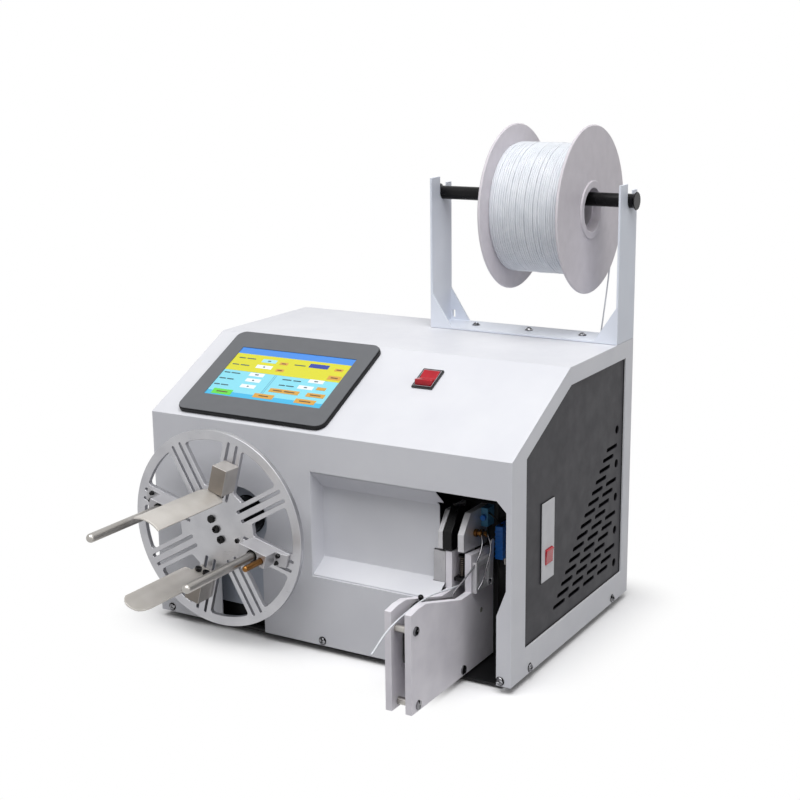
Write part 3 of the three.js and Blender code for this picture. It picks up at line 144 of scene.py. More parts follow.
# Grain and noise detail of the tone, the gloss and the relief, how far the roughness swings, and the
# relief's depth. Grains, lengths and depths are real ones in millimetres
finishes = {
    # Baked polyester powder: faint orange peel, slightly uneven gloss, dust in broad soft patches
    "powder": {"tone": (60, 3), "gloss": (18, 3), "swing": 0.05, "grain": 1.4, "detail": 2, "depth": 0.012,
        "ior": 1.5},
    # Ground or brushed stock: long fine scratches along one way, uneven gloss between them. Where a pair of
    # darker tones is given, the sides that look to the front take them as painted shade
    "brushed": {"tone": (25, 2), "swing": 0.07, "grain": 0.35, "detail": 3, "rough": 0.6, "depth": 0.004,
        "along": "X", "length": 40, "metal": 1.0},
    # Injection-moulded part: fine tool texture, slight tone change
    "moulded": {"tone": (14, 2), "gloss": (5, 3), "swing": 0.04, "grain": 0.5, "detail": 2, "depth": 0.008,
        "ior": 1.5},
}
noiseLow, noiseHigh = 0.3, 0.7  # where nearly all of a noise pattern lies
frontShadeLow, frontShadeHigh = 0.6, 0.95  # how squarely a side looks to the front before it takes the painted shade


def surface(kind, name, slot, base, shade, roughness, **changes):
    v = finishes[kind] | changes
    material, tree, shader = newMaterial(name)
    where = addNode(tree, "ShaderNodeTexCoord").outputs
    stretch = [v["grain"] / v["length"] if axis == v.get("along") else 1.0 for axis in "XYZ"]
    plain, stretched = (addNode(tree, "ShaderNodeMapping", {"Vector": where["Object"], "Scale": scale}).outputs[0]
            for scale in ((1, 1, 1), stretch))
    uses = {"relief": (stretched, v["grain"], v["detail"], v.get("rough", 0.5)),
            "tone": (plain, *v["tone"], 0.5)}
    if "gloss" in v:
        uses["gloss"] = (plain, *v["gloss"], 0.5)
    patterns = {use: addNode(tree, "ShaderNodeTexNoise", {"Vector": point, "Scale": 1000 / grain,
            "Detail": detail, "Roughness": rough}).outputs["Fac"]
            for use, (point, grain, detail, rough) in uses.items()}
    ranges = ((patterns["tone"], 0, 1),
            (patterns.get("gloss", patterns["relief"]), roughness - v["swing"], roughness + v["swing"]))
    tone, gloss = (addNode(tree, "ShaderNodeMapRange", {"Value": value, "From Min": noiseLow,
            "From Max": noiseHigh, "To Min": low, "To Max": high}).outputs[0] for value, low, high in ranges)
    color, *frontShade = (addNode(tree, "ShaderNodeMix", {"Factor": tone, 6: hexColor(first), 7: hexColor(second)},
            data_type="RGBA").outputs[2] for first, second in ((base, shade), *v.get("faced", ())))
    # Painted shade: sides that look to the front are mixed toward the darker tones
    if frontShade:
        front = addNode(tree, "ShaderNodeVectorMath", {0: where["Normal"], 1: (0, -1, 0)},
                operation="DOT_PRODUCT")
        amount = addNode(tree, "ShaderNodeMapRange", {"Value": front.outputs["Value"], "From Min": frontShadeLow,
                "From Max": frontShadeHigh}).outputs[0]
        color = addNode(tree, "ShaderNodeMix", {"Factor": amount, 6: color, 7: frontShade[0]},
                data_type="RGBA").outputs[2]
    bump = addNode(tree, "ShaderNodeBump", {"Height": patterns["relief"], "Strength": 1.0,
            "Distance": v["depth"] * millimetre})
    setInputs(tree, shader, {"Base Color": color, "Roughness": gloss, "Normal": bump.outputs[0],
            "Metallic": v.get("metal", 0)})
    if "ior" in v:
        shader.inputs["IOR"].default_value = v["ior"]
    return material


displayValues = {"rowPitch": 0.8, "dark": "#20303a", "darkShare": 0.12, "glow": 0.12, "roughness": 0.25,
        "ior": 1.5}


def displayPixels(name, code):
    # Lit liquid-crystal field: colour from behind, rows of pixels just too fine to count
    v = displayValues
    material, tree, shader = newMaterial(name)
    where = addNode(tree, "ShaderNodeTexCoord").outputs["Object"]
    rows = addNode(tree, "ShaderNodeTexWave", {"Vector": where, "Scale": 1000 / v["rowPitch"] / math.tau},
            wave_type="BANDS", bands_direction="X")
    amount = addNode(tree, "ShaderNodeMapRange", {"Value": rows.outputs["Fac"], "From Min": noiseLow,
            "From Max": noiseHigh, "To Min": 0, "To Max": v["darkShare"]}).outputs[0]
    color = addNode(tree, "ShaderNodeMix", {"Factor": amount, 6: hexColor(code), 7: hexColor(v["dark"])},
            data_type="RGBA").outputs[2]
    setInputs(tree, shader, {"Base Color": color, "Emission Color": color, "Emission Strength": v["glow"],
            "Roughness": v["roughness"], "IOR": v["ior"]})
    return material


whiteCoat = surface("powder", "whitePowderCoat", "white_powder_coat", "#dddee3", "#d7d8de", 0.42)
standCoat = surface("powder", "coolWhitePowderCoat", "white_powder_coat", "#e3e8f2", "#dde2ec", 0.42)
greyCoat = surface("powder", "darkGreyPowderCoat", "dark_grey_powder_coat", "#2c2b30", "#302f34", 0.5,
        depth=0.02, grain=0.9, ior=1.33)
blackCoat = surface("powder", "blackPowderCoat", "black_powder_coat", "#0d0d0f", "#131315", 0.55,
        depth=0.02, grain=0.9, ior=1.35)
# Chemically blackened steel: nearly black, a soft satin gleam
blackSteel = surface("powder", "blackOxideSteel", "black_steel", "#060607", "#0a0a0c", 0.27,
        depth=0.006, grain=0.8, ior=1.28)
milledAluminium = surface("brushed", "milledAluminium", "brushed_aluminium", "#bdbdc0", "#b0b0b4", 0.34,
        metal=0.85)
# Sawn and lightly ground bar, warmer and duller than the milled wheel; its sides that look to the front are
# darkened as painted shade
frontShadeAluminium = surface("brushed", "frontShadeAluminiumBar", "brushed_aluminium", "#c4c0bc", "#b5b1ad", 0.36,
        along="Z", grain=0.5, length=12, depth=0.006, metal=0.45, faced=[("#8d857d", "#7d766f")])
# The same bar paler, its sides that look to the front also darkened as painted shade
frontShadeAluminiumPale = surface("brushed", "groundAluminiumBarFrontShade", "brushed_aluminium", "#cbcacd", "#bdbcbf", 0.36,
        grain=0.5, length=12, depth=0.005, metal=0.5, faced=[("#b2b1b4", "#a3a2a5")])
# Bead-blasted and anodised: diffuse grey with hardly any mirror left
blastedAluminium = surface("brushed", "beadBlastedAluminium", "brushed_aluminium", "#d6d5d8", "#c6c5c8",
        0.42, along="Y", grain=0.6, length=2, depth=0.006, metal=0.35)
# Drawn bar left as it came: upright streaks, a tone darker than the blasted cheeks above it
drawnAluminium = surface("brushed", "drawnAluminiumBar", "brushed_aluminium", "#b3b2b5", "#a3a2a6", 0.34,
        along="Z", grain=0.5, length=20, depth=0.005, metal=0.55)
guideAluminium = surface("brushed", "brushedAluminiumPlate", "brushed_aluminium", "#ebe8ee", "#e0dde4", 0.42,
        along="Y", metal=0.05)
stainless = surface("brushed", "groundStainlessSteel", "stainless_steel", "#b3b0ac", "#a3a09b", 0.33,
        along="Y", grain=0.25, length=60, depth=0.003)
# Rolled sheet, matt and a little warm
rolledSteel = surface("brushed", "rolledStainlessSheet", "stainless_steel", "#c9c5c0", "#bdb9b3", 0.5,
        along="Y", grain=0.4, length=30, depth=0.003, metal=0.75)
# Zinc plating with its cool blue passivation
zincPlated = surface("brushed", "bluePassivatedZinc", "stainless_steel", "#c3cad6", "#b8c0cd", 0.5,
        along="Z", grain=0.5, length=6, depth=0.003, metal=0.15)
# Small turned parts: streaks of a few millimetres round the part
screwSteel = surface("brushed", "nickelScrewSteel", "stainless_steel", "#8c8c8f", "#6f6f72", 0.2,
        grain=0.2, length=3, depth=0.006)
turnedBrass = surface("brushed", "turnedBrass", "brass", "#93683a", "#7a552d", 0.24,
        grain=0.2, length=6, depth=0.003)
springSteel = surface("brushed", "oiledSpringSteel", "stainless_steel", "#6b6259", "#554d45", 0.3,
        along="Z", grain=0.2, length=4, depth=0.003)
blackPlastic = surface("moulded", "blackAbs", "black_plastic", "#0a0a0c", "#0f0f11", 0.45, ior=1.3)
glossBlack = surface("moulded", "polishedBlackNylon", "black_plastic", "#0c0c0e", "#101012", 0.15,
        grain=2, depth=0.001)
greyFilm = surface("moulded", "greyScreenFilm", "screen_glass", "#5b5d61", "#5e6064", 0.35,
        grain=3, depth=0.0005)
redPlastic = surface("moulded", "redPolycarbonate", "red_plastic", "#c3112a", "#b00d22", 0.18,
        grain=2, depth=0.003)
deepRedPlastic = surface("moulded", "polishedRedPolycarbonate", "red_plastic", "#b80d24", "#a60a1e", 0.14,
        grain=2, depth=0.001, ior=1.4)
# Light grey that stands in for the highlight on the switch bezel's inner edge: a painted highlight
lipHighlightPlastic = surface("moulded", "paintedHighlightLip", "black_plastic", "#a09da3", "#949197", 0.3,
        grain=1, depth=0.002)
whitePlastic = surface("moulded", "whiteMouldedNylon", "white_plastic", "#d9d9dc", "#d2d2d6", 0.45)
bluePlastic = surface("moulded", "blueNylon", "blue_plastic", "#1f7bdc", "#1a6cc6", 0.35)
lightBluePlastic = surface("moulded", "lightBlueNylon", "light_blue_plastic", "#4d8fb4", "#437fa2", 0.4)
rubber = surface("moulded", "blackRubber", "rubber", "#101010", "#161616", 0.75,
        grain=0.6, depth=0.02, ior=1.4)
spoolPlastic = surface("moulded", "paleGreyPolystyrene", "spool_plastic", "#dad5db", "#d3ced4", 0.5,
        grain=1.5, depth=0.01)
wireCoat = surface("moulded", "whitePvcWire", "wire_plastic", "#e0e3e8", "#d6dae0", 0.4, grain=1, depth=0.004)
print("materials made")


# Mesh helpers: every shape is built in millimetres and set down by a frame

def declare(piece, body, node):  # the body that carries a piece and the node it replaces
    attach(piece, body)
    if node:
        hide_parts(node)
    return piece


def finishPiece(name, shape, place, material, body="machine", bevel=0, segments=2, smoothAngle=35, node=None):
    bmesh.ops.remove_doubles(shape, verts=shape.verts, dist=0.002)
    bmesh.ops.recalc_face_normals(shape, faces=shape.faces)
    shape.transform(place)
    mesh = meshOf(shape, name)
    mesh.shade_smooth()
    mesh.set_sharp_from_angle(angle=math.radians(smoothAngle))
    mesh.materials.append(material)
    piece = linked(bpy.data.objects.new(name, mesh))
    if bevel:
        edge = piece.modifiers.new("edge", "BEVEL")
        edge.width = bevel * millimetre
        edge.segments = segments
        edge.limit_method = "ANGLE"
        edge.angle_limit = math.radians(smoothAngle)
        edge.harden_normals = True
        edge.miter_outer = "MITER_ARC"
    return declare(piece, body, node)


def meshOf(shape, name="template"):
    mesh = bpy.data.meshes.new(name)
    shape.to_mesh(mesh)
    shape.free()
    return mesh


def copied(node, merged=True):  # a CAD node's mesh as a clean bmesh in machine millimetres
    shape = bmesh.new()
    shape.from_mesh(nodes[node].data)
    bmesh.ops.remove_doubles(shape, verts=shape.verts, dist=1e-6)
    shape.transform(toMachine)
    if merged:
        bmesh.ops.dissolve_limit(shape, angle_limit=math.radians(1), verts=shape.verts, edges=shape.edges)
    return shape


def dress(node, material, bevel=0.5, segments=2, body="machine", smoothAngle=35, merged=True):
    return finishPiece(node + "Finished", copied(node, merged), machineFrame, material, body, bevel, segments,
            smoothAngle, node)


def keepFlat(piece):  # normals weighted by area keep large faces flat right up to their rounded edges
    piece.modifiers["edge"].harden_normals = False
    piece.modifiers.new("flatFaces", "WEIGHTED_NORMAL").keep_sharp = True


def within(point, ring):  # whether a flat point lies inside a closed ring
    inside = False
    for (x0, y0), (x1, y1) in zip(ring, ring[1:] + ring[:1]):
        if (y0 > point.y) != (y1 > point.y) and point.x < x0 + (point.y - y0) / (y1 - y0) * (x1 - x0):
            inside = not inside
    return inside


def sheetShape(outline, holes, thickness):  # flat outline in x and y with holes, thickened along z
    rings = [outline] + holes
    points = [Vector(point) for ring in rings for point in ring]
    owners = [i for i, ring in enumerate(rings) for point in ring]
    edges = []
    for ring in rings:
        first = len(edges)
        edges += [(first + i, first + (i + 1) % len(ring)) for i in range(len(ring))]
    places, _, triangles, origins, *_ = geometry.delaunay_2d_cdt(points, edges, [], 0, 1e-6)
    shape = bmesh.new()
    verts = [shape.verts.new((place.x, place.y, 0)) for place in places]
    for corners in triangles:
        # Only a triangle with all its corners on one ring can lie in a hole or outside the outline
        found = {owners[origins[i][0]] for i in corners}
        if len(found) == 1:
            ring = found.pop()
            if within(sum((places[i] for i in corners), Vector((0, 0))) / 3, rings[ring]) == (ring > 0):
                continue
        shape.faces.new([verts[i] for i in corners])
    made = bmesh.ops.extrude_face_region(shape, geom=shape.faces[:])
    bmesh.ops.translate(shape, vec=(0, 0, thickness),
            verts=[v for v in made["geom"] if isinstance(v, bmesh.types.BMVert)])
    return shape


def arcPoints(cx, cy, radius, start, end, steps):
    angles = [math.radians(start + (end - start) * i / steps) for i in range(steps + 1)]
    return [(cx + radius * math.cos(angle), cy + radius * math.sin(angle)) for angle in angles]


def circlePoints(cx, cy, radius, steps):
    return arcPoints(cx, cy, radius, 0, 360, steps)[:-1]


def slotPoints(x0, x1, y, width, steps=8):
    r = width / 2
    return arcPoints(x1 - r, y, r, -90, 90, steps) + arcPoints(x0 + r, y, r, 90, 270, steps)


def rectangle(x0, x1, y0, y1):
    return [(x0, y0), (x1, y0), (x1, y1), (x0, y1)]


def roundedBox(x0, x1, y0, y1, r, steps=8):
    corners = zip(rectangle(x0 + r, x1 - r, y0 + r, y1 - r), (180, -90, 0, 90))
    arcs = [arcPoints(x, y, r, start, start + 90, steps) for (x, y), start in corners]
    return sum(arcs[1:] + arcs[:1], [])


def roundNosed(radius, tip, seat, steps):  # the profile of a rod with a round tip
    nose = arcPoints(0, tip - radius, radius, 90, 0, steps)
    return [(abs(x), y) for x, y in nose] + [(radius, seat), (0, seat)]


def ringProfile(inner, outer, start, end):
    return [(inner, start), (outer, start), (outer, end), (inner, end), (inner, start)]


def spun(profile, steps):  # a profile of (radius, height) spun about z
    shape = bmesh.new()
    verts = [shape.verts.new((r, 0, h)) for r, h in profile]
    edges = [shape.edges.new(pair) for pair in zip(verts, verts[1:])]
    bmesh.ops.spin(shape, geom=verts + edges, cent=(0, 0, 0), axis=(0, 0, 1), angle=math.tau, steps=steps,
            use_merge=True, use_duplicate=False)
    bmesh.ops.remove_doubles(shape, verts=shape.verts, dist=0.001)
    return shape


def addBox(shape, middle, size):
    box = bmesh.ops.create_cube(shape, size=1)["verts"]
    bmesh.ops.scale(shape, vec=size, verts=box)
    bmesh.ops.translate(shape, vec=middle, verts=box)


def sweptWire(path, radius, sides, axisPoint, axis):  # round wire wound about an axis, its ends closed
    shape = bmesh.new()
    previous = None
    for i, point in enumerate(path):
        along = (path[min(i + 1, len(path) - 1)] - path[max(i - 1, 0)]).normalized()
        outward = point - axisPoint
        outward = (outward - axis * outward.dot(axis)).normalized()
        across = along.cross(outward).normalized()
        ring = [shape.verts.new(point + (across * math.cos(math.tau * k / sides)
                + outward * math.sin(math.tau * k / sides)) * radius)
                for k in range(sides)]
        if previous:
            for k in range(sides):
                shape.faces.new((previous[k - 1], previous[k], ring[k], ring[k - 1]))
        else:
            shape.faces.new(ring)
        previous = ring
    shape.faces.new(list(reversed(previous)))
    return shape


def tubePiece(name, points, radius, material, resolution=8, node=None):  # round wire or tube on smooth bends
    data = bpy.data.curves.new(name, "CURVE")
    data.dimensions = "3D"
    spline = data.splines.new("BEZIER")
    spline.bezier_points.add(len(points) - 1)
    for handle, point in zip(spline.bezier_points, points):
        handle.co = machineFrame @ Vector(point)
        handle.handle_left_type = handle.handle_right_type = "AUTO"
    data.resolution_u = data.render_resolution_u = resolution
    data.bevel_depth = radius * millimetre
    data.bevel_resolution = 3
    data.use_fill_caps = True
    data.materials.append(material)
    return declare(linked(bpy.data.objects.new(name, data)), "machine", node)


def cutAway(target, tool):  # a mesh of target without tool, both closed bmeshes
    pair = [linked(bpy.data.objects.new("cutting", meshOf(shape))) for shape in (target, tool)]
    cut = pair[0].modifiers.new("cut", "BOOLEAN")
    cut.object = pair[1]
    cut.solver = "EXACT"
    shape = bmesh.new()
    shape.from_object(pair[0], bpy.context.evaluated_depsgraph_get())
    for part in pair:
        bpy.data.objects.remove(part)
    return meshOf(shape)


def placeCopies(name, template, places, material, body="machine"):
    shape = bmesh.new()
    for place in places:
        copy = template.copy()
        copy.transform(place)
        shape.from_mesh(copy)
        bpy.data.meshes.remove(copy)
    finishPiece(name, shape, Matrix.Identity(4), material, body)


# Screws: heads stand out along +z from the surface at z 0

screwValues = {
    "panRadius": 4.2, "panHeight": 2.8, "domeEdge": 10, "crossWidth": 1.5, "crossLength": 5.0,
    "crossDepth": 2.0, "hexShare": 0.52, "lipShare": 0.12, "shoulderShare": 0.7, "topShare": 0.86,
    "slit": (3, 0.34, 1.3),  # in the head's radius, radius and height
}


def spunHead(profile, steps=28):
    head = spun(profile, steps)
    bmesh.ops.recalc_face_normals(head, faces=head.faces)
    return head


def panScrew(radius):
    v = screwValues
    height = v["panHeight"] * radius / v["panRadius"]
    dome = arcPoints(0, 0, 1, 90, v["domeEdge"], 6)
    head = spunHead([(x * radius, y * height) for x, y in dome] + [(radius, 0), (0, 0)], 24)
    w, l = v["crossWidth"] / 2, v["crossLength"] * radius / v["panRadius"] / 2
    plus = [(l, -w), (l, w), (w, w), (w, l), (-w, l), (-w, w), (-l, w), (-l, -w), (-w, -w), (-w, -l), (w, -l),
            (w, -w)]
    cross = sheetShape(plus, [], height + v["crossDepth"])
    bmesh.ops.translate(cross, vec=(0, 0, height - v["crossDepth"]), verts=cross.verts)
    bmesh.ops.recalc_face_normals(cross, faces=cross.faces)
    return cutAway(head, cross)


def socketScrew(radius, height):
    v = screwValues
    lip = radius * v["lipShare"]
    head = spunHead([(0, 0), (radius, 0), (radius, height - lip), (radius - lip, height), (0, height)])
    hexagon = bmesh.new()
    bmesh.ops.create_cone(hexagon, cap_ends=True, segments=6, radius1=radius * v["hexShare"],
            radius2=radius * v["hexShare"], depth=height)
    bmesh.ops.translate(hexagon, vec=(0, 0, height), verts=hexagon.verts)
    return cutAway(head, hexagon)


def slottedScrew(radius, height):
    v = screwValues
    head = spunHead([(0, 0), (radius, 0), (radius, height * v["shoulderShare"]),
            (radius * v["topShare"], height), (0, height)])
    slit = bmesh.new()
    long, wide, tall = v["slit"]
    addBox(slit, (0, 0, height), (radius * long, radius * wide, height * tall))
    return cutAway(head, slit)


# Housing

housingValues = {
    "screwRadius": 4.2,
    "washer": {"inner": 1, "radius": 5.2, "height": 0.6, "edge": 0.3, "edgeShare": 0.6},
    "frontScrews": [(-214, 6), (-2, 6), (218, 6)],  # x, z
    "sideScrews": [(46, 6), (273, 6)],  # y, z
    "rearScrews": [(-214, 28), (214, 28), (-214, 296), (214, 296), (0, 296)],  # x, z
    "standScrews": {"x": [36, 107, 176], "y": 296, "z": 315.8},
    "prongs": {"z": 45, "places": [(-7, 0), (0, -6), (7, 0)], "width": 1.6, "height": 4.2, "front": 300.5,
        "rear": 315},
    "footProfile": [(0, -8), (9.8, -8), (10.7, -7.1), (10.2, -5), (0, -5)],
}


def makeHousing():
    # These two keep their triangles, as a face with windows doesn't merge to one polygon
    keepFlat(dress("cover", whiteCoat, 0.9, 3, merged=False))
    keepFlat(dress("rear_panel", greyCoat, 0.4, merged=False))
    keepFlat(dress("pocket_liner", whiteCoat, 0.6))
    dress("base_tray", blackCoat, 0.6)
    dress("power_inlet", blackPlastic)
    dress("wire_grommet", blackPlastic, 0.4)
    v = housingValues
    places = [at(x, 0, z) @ alongY for x, z in v["frontScrews"]]
    side = cover["halfWidth"]
    for y, z in v["sideScrews"]:
        places += [at(side, y, z) @ alongX, at(-side, y, z) @ alongX.inverted()]
    places += [at(x, cover["depth"], z) @ alongY.inverted() for x, z in v["rearScrews"]]
    stand = v["standScrews"]
    places += [at(x, stand["y"], stand["z"]) for x in stand["x"]]
    w = v["washer"]
    ring = spun([(w["inner"], 0), (w["radius"], 0), (w["radius"], w["height"] * w["edgeShare"]),
            (w["radius"] - w["edge"], w["height"]), (w["inner"], w["height"]), (w["inner"], 0)], 28)
    placeCopies("coverWashers", meshOf(ring), places, blackSteel)
    places = [place @ Matrix.Translation((0, 0, w["height"])) for place in places]
    placeCopies("coverScrews", panScrew(v["screwRadius"]), places, screwSteel)
    p = v["prongs"]
    length = p["rear"] - p["front"]
    shape = bmesh.new()
    for x, z in p["places"]:
        addBox(shape, (middleOf("power_inlet").x + x, p["front"] + length / 2, p["z"] + z),
               (p["width"], length, p["height"]))
    finishPiece("inletProngs", shape, machineFrame, stainless, bevel=0.4)
    for corner in ("front_left", "front_right", "rear_left", "rear_right"):
        foot = "foot_" + corner
        middle = middleOf(foot)
        finishPiece(foot + "Finished", spun(v["footProfile"], 32), at(middle.x, middle.y), rubber, node=foot)


ventValues = {
    "front": 34, "bottom": 31, "rear": 299, "top": 293, "frontTop": 238, "lap": 9, "thickness": 1.5,
    "rows": 15, "drop": 10.2, "topRow": 192.5, "firstStart": 252, "pitch": 40.7, "length": 31, "width": 4.7,
    "lastEnd": 284, "roundRadius": 5, "roundPlace": 282, "roundTop": 211, "roundDrop": 40.8, "roundCount": 5,
    "breaker": (76.7, 104.3, 91.7, 176.3),  # the cut-out in y and in z
    # Where the ring of painted shadow inside the window starts, how wide and how thick it is
    "shadowLineGap": 0.2, "shadowLineWidth": 1.1, "shadowLineHeight": 0.5,
}


def windowOutline(lap):  # the side window's outline, set back all round by a lap
    v = ventValues
    slopeTop = v["front"] + (v["top"] - v["frontTop"]) / math.tan(slopeAngle)
    return [
        (v["front"] - lap, v["bottom"] - lap), (v["rear"] + lap, v["bottom"] - lap),
        (v["rear"] + lap, v["top"] + lap), (slopeTop - math.tan(slopeAngle / 2) * lap, v["top"] + lap),
        (v["front"] - lap, v["frontTop"] + math.tan((math.pi / 2 - slopeAngle) / 2) * lap),
    ]


def makeSidePanels():
    v = ventValues
    holes = []
    for row in range(v["rows"]):
        start = v["firstStart"] - row * v["drop"]
        while start + v["length"] < v["lastEnd"]:
            holes.append(slotPoints(start, start + v["length"], v["topRow"] - row * v["drop"], v["width"]))
            start += v["pitch"]
    for i in range(v["roundCount"]):
        holes.append(circlePoints(v["roundPlace"], v["roundTop"] - i * v["roundDrop"], v["roundRadius"], 24))
    for side, cuts in (("left", holes), ("right", holes + [rectangle(*v["breaker"])])):
        low, high = boxOf("side_panel_" + side)
        finishPiece("sidePanel" + side.capitalize(), sheetShape(windowOutline(v["lap"]), cuts, v["thickness"]),
                at(low.x) @ upright, greyCoat, bevel=0.3, node="side_panel_" + side)
        # Painted shadow: a thin dark ring just inside the window's edge stands for the shaded gap between the
        # cover and the panel
        shadowLine = sheetShape(windowOutline(-v["shadowLineGap"]), [windowOutline(-v["shadowLineGap"] - v["shadowLineWidth"])],
                v["shadowLineHeight"])
        face = high.x if side == "right" else low.x - v["shadowLineHeight"]
        finishPiece("windowShadowLine" + side.capitalize(), shadowLine, at(face) @ upright, rubber)


# Winding wheel

wheelValues = {
    "radius": 112.5, "rimInner": 101.5, "spokeHalfWidth": 12.5, "windowInner": 50, "fillet": 3.5,
    "firstSpoke": 30, "spokes": 8, "slotOffset": 5.5, "slotWidth": 3.5, "slotInner": 36, "slotOuter": 104,
    "hubScrews": [(-6, 11), (0, 0), (6, -11)], "hubScrew": (4.6, 3.0),  # radius, height
    "setScrew": (3.0, 1.5), "setScrewPlace": (28, -9),
    "hubRadius": 22, "hubRear": 40, "hubGap": 0.3, "shaftRadius": 8, "shaftRear": 86,
}


def windowPoints(middle):
    v = wheelValues
    half = 180 / v["spokes"]
    w, f, outerR, innerR = v["spokeHalfWidth"], v["fillet"], v["rimInner"], v["windowInner"]
    outer = half - math.degrees(math.asin((w + f) / (outerR - f)))
    inner = half - math.degrees(math.asin((w + f) / (innerR + f)))

    def corner(distance, angle, start, end):
        cx = distance * math.cos(math.radians(angle))
        cy = distance * math.sin(math.radians(angle))
        return arcPoints(cx, cy, f, start, end, 5)

    return (arcPoints(0, 0, outerR, middle - outer, middle + outer, 10)[:-1]
            + corner(outerR - f, middle + outer, middle + outer, middle + half + 90)
            + corner(innerR + f, middle + inner, middle + half + 90, middle + inner + 180)
            + arcPoints(0, 0, innerR, middle + inner, middle - inner, 5)[1:-1]
            + corner(innerR + f, middle - inner, middle - inner + 180, middle - half + 270)
            + corner(outerR - f, middle - outer, middle - half - 90, middle - outer)[:-1])


def onDisc(x, z):  # the place of a screw on the wheel's front face
    return wheelFrame @ Matrix.Translation((x, discFront, z)) @ alongY


def makeDisc():
    v = wheelValues
    holes = []
    for i in range(v["spokes"]):
        spoke = v["firstSpoke"] + 360 / v["spokes"] * i
        holes.append(windowPoints(spoke + 180 / v["spokes"]))
        turn = Matrix.Rotation(math.radians(spoke), 2)
        for t in (-v["slotOffset"], v["slotOffset"]):
            points = slotPoints(v["slotInner"], v["slotOuter"], t, v["slotWidth"], 6)
            holes.append([tuple(turn @ Vector(p)) for p in points])
    shape = sheetShape(circlePoints(0, 0, v["radius"], 128), holes, discBack - discFront)
    finishPiece("windingDisc", shape, wheelFrame @ Matrix.Translation((0, discBack, 0)) @ alongY,
            milledAluminium, "wheel", 0.7, 3, node="winding_disc")
    front = discBack + v["hubGap"]
    profile = [(0, -front), (v["hubRadius"], -front), (v["hubRadius"], -v["hubRear"]),
            (v["shaftRadius"], -v["hubRear"]), (v["shaftRadius"], -v["shaftRear"]), (0, -v["shaftRear"])]
    finishPiece("driveHub", spun(profile, 48), wheelFrame @ alongY, blackSteel, "wheel", 0.6,
            node="drive_hub")
    placeCopies("hubScrews", socketScrew(*v["hubScrew"]), [onDisc(x, z) for x, z in v["hubScrews"]],
            blackSteel, "wheel")
    placeCopies("hubSetScrew", socketScrew(*v["setScrew"]), [onDisc(*v["setScrewPlace"])], blackSteel,
            "wheel")


carrierValues = {
    "rod": (5, 183, 60.6, 8), "pin": (3.5, 98, 53.6, 6),  # radius, tip, seat, steps round the nose
    "right": {"angle": 345, "s": 66, "t": 4.75}, "left": {"angle": 165, "s": 63, "t": -4.75},
    "plateScrews": {"s": 50.2, "y": -55, "t": 5.3, "screw": (4.2, 4.0)},
    "footScrews": {"s": 88, "y": -50.3, "t": 4.4, "screw": (2.9, 2.6)},
    # the ring of painted shade in the recess round the rod: inner and outer radius, its two ends
    "recessShade": (5.1, 6.9, 68.1, 61.0),
}


def makeCarriers():
    v = carrierValues
    for side in ("top", "bottom", "right", "left"):
        bar = frontShadeAluminium if side in ("top", "bottom") else frontShadeAluminiumPale
        dress("carrier_block_" + side, bar, 0.6, body="carrier_" + side)
    for side in ("top", "bottom"):
        dress("coil_plate_" + side, rolledSteel, body="carrier_" + side, smoothAngle=50)
    # Each plate is held to its block by two screws on its hollow side
    p = v["plateScrews"]
    for side, angle in (("top", 75), ("bottom", 255)):
        places = [spokeFrame(angle) @ Matrix.Translation((p["s"], p["y"], t)) @ alongX.inverted()
                for t in (-p["t"], p["t"])]
        placeCopies(side + "PlateScrews", socketScrew(*p["screw"]), places, blackSteel, "carrier_" + side)
    p = v["footScrews"]
    for side in ("right", "left"):
        c, body = v[side], "carrier_" + side
        middle = middleOf("coil_rod_" + side)
        finishPiece("coilRod" + side.capitalize(), spun(roundNosed(*v["rod"]), 32),
                at(middle.x, 0, middle.z) @ alongY, stainless, body, node="coil_rod_" + side)
        places = [spokeFrame(c["angle"]) @ Matrix.Translation((p["s"], p["y"], c["t"] + t)) @ alongY
                for t in (-p["t"], p["t"])]
        placeCopies(side + "FootScrews", socketScrew(*p["screw"]), places, blackSteel, body)
        # A black ring fills the recess round the rod as painted shade
        finishPiece(side + "RodRecessShade", spun(ringProfile(*v["recessShade"]), 32),
                spokeFrame(c["angle"]) @ Matrix.Translation((c["s"], 0, c["t"])) @ alongY, blackSteel,
                body, 0.3)
    middle = middleOf("clip_pin")
    finishPiece("clipPin", spun(roundNosed(*v["pin"]), 28), at(middle.x, 0, middle.z) @ alongY, turnedBrass,
            "clip_pin", node="clip_pin")


# Touch screen, in the slope's frame: x across, y up the slope, z out of it

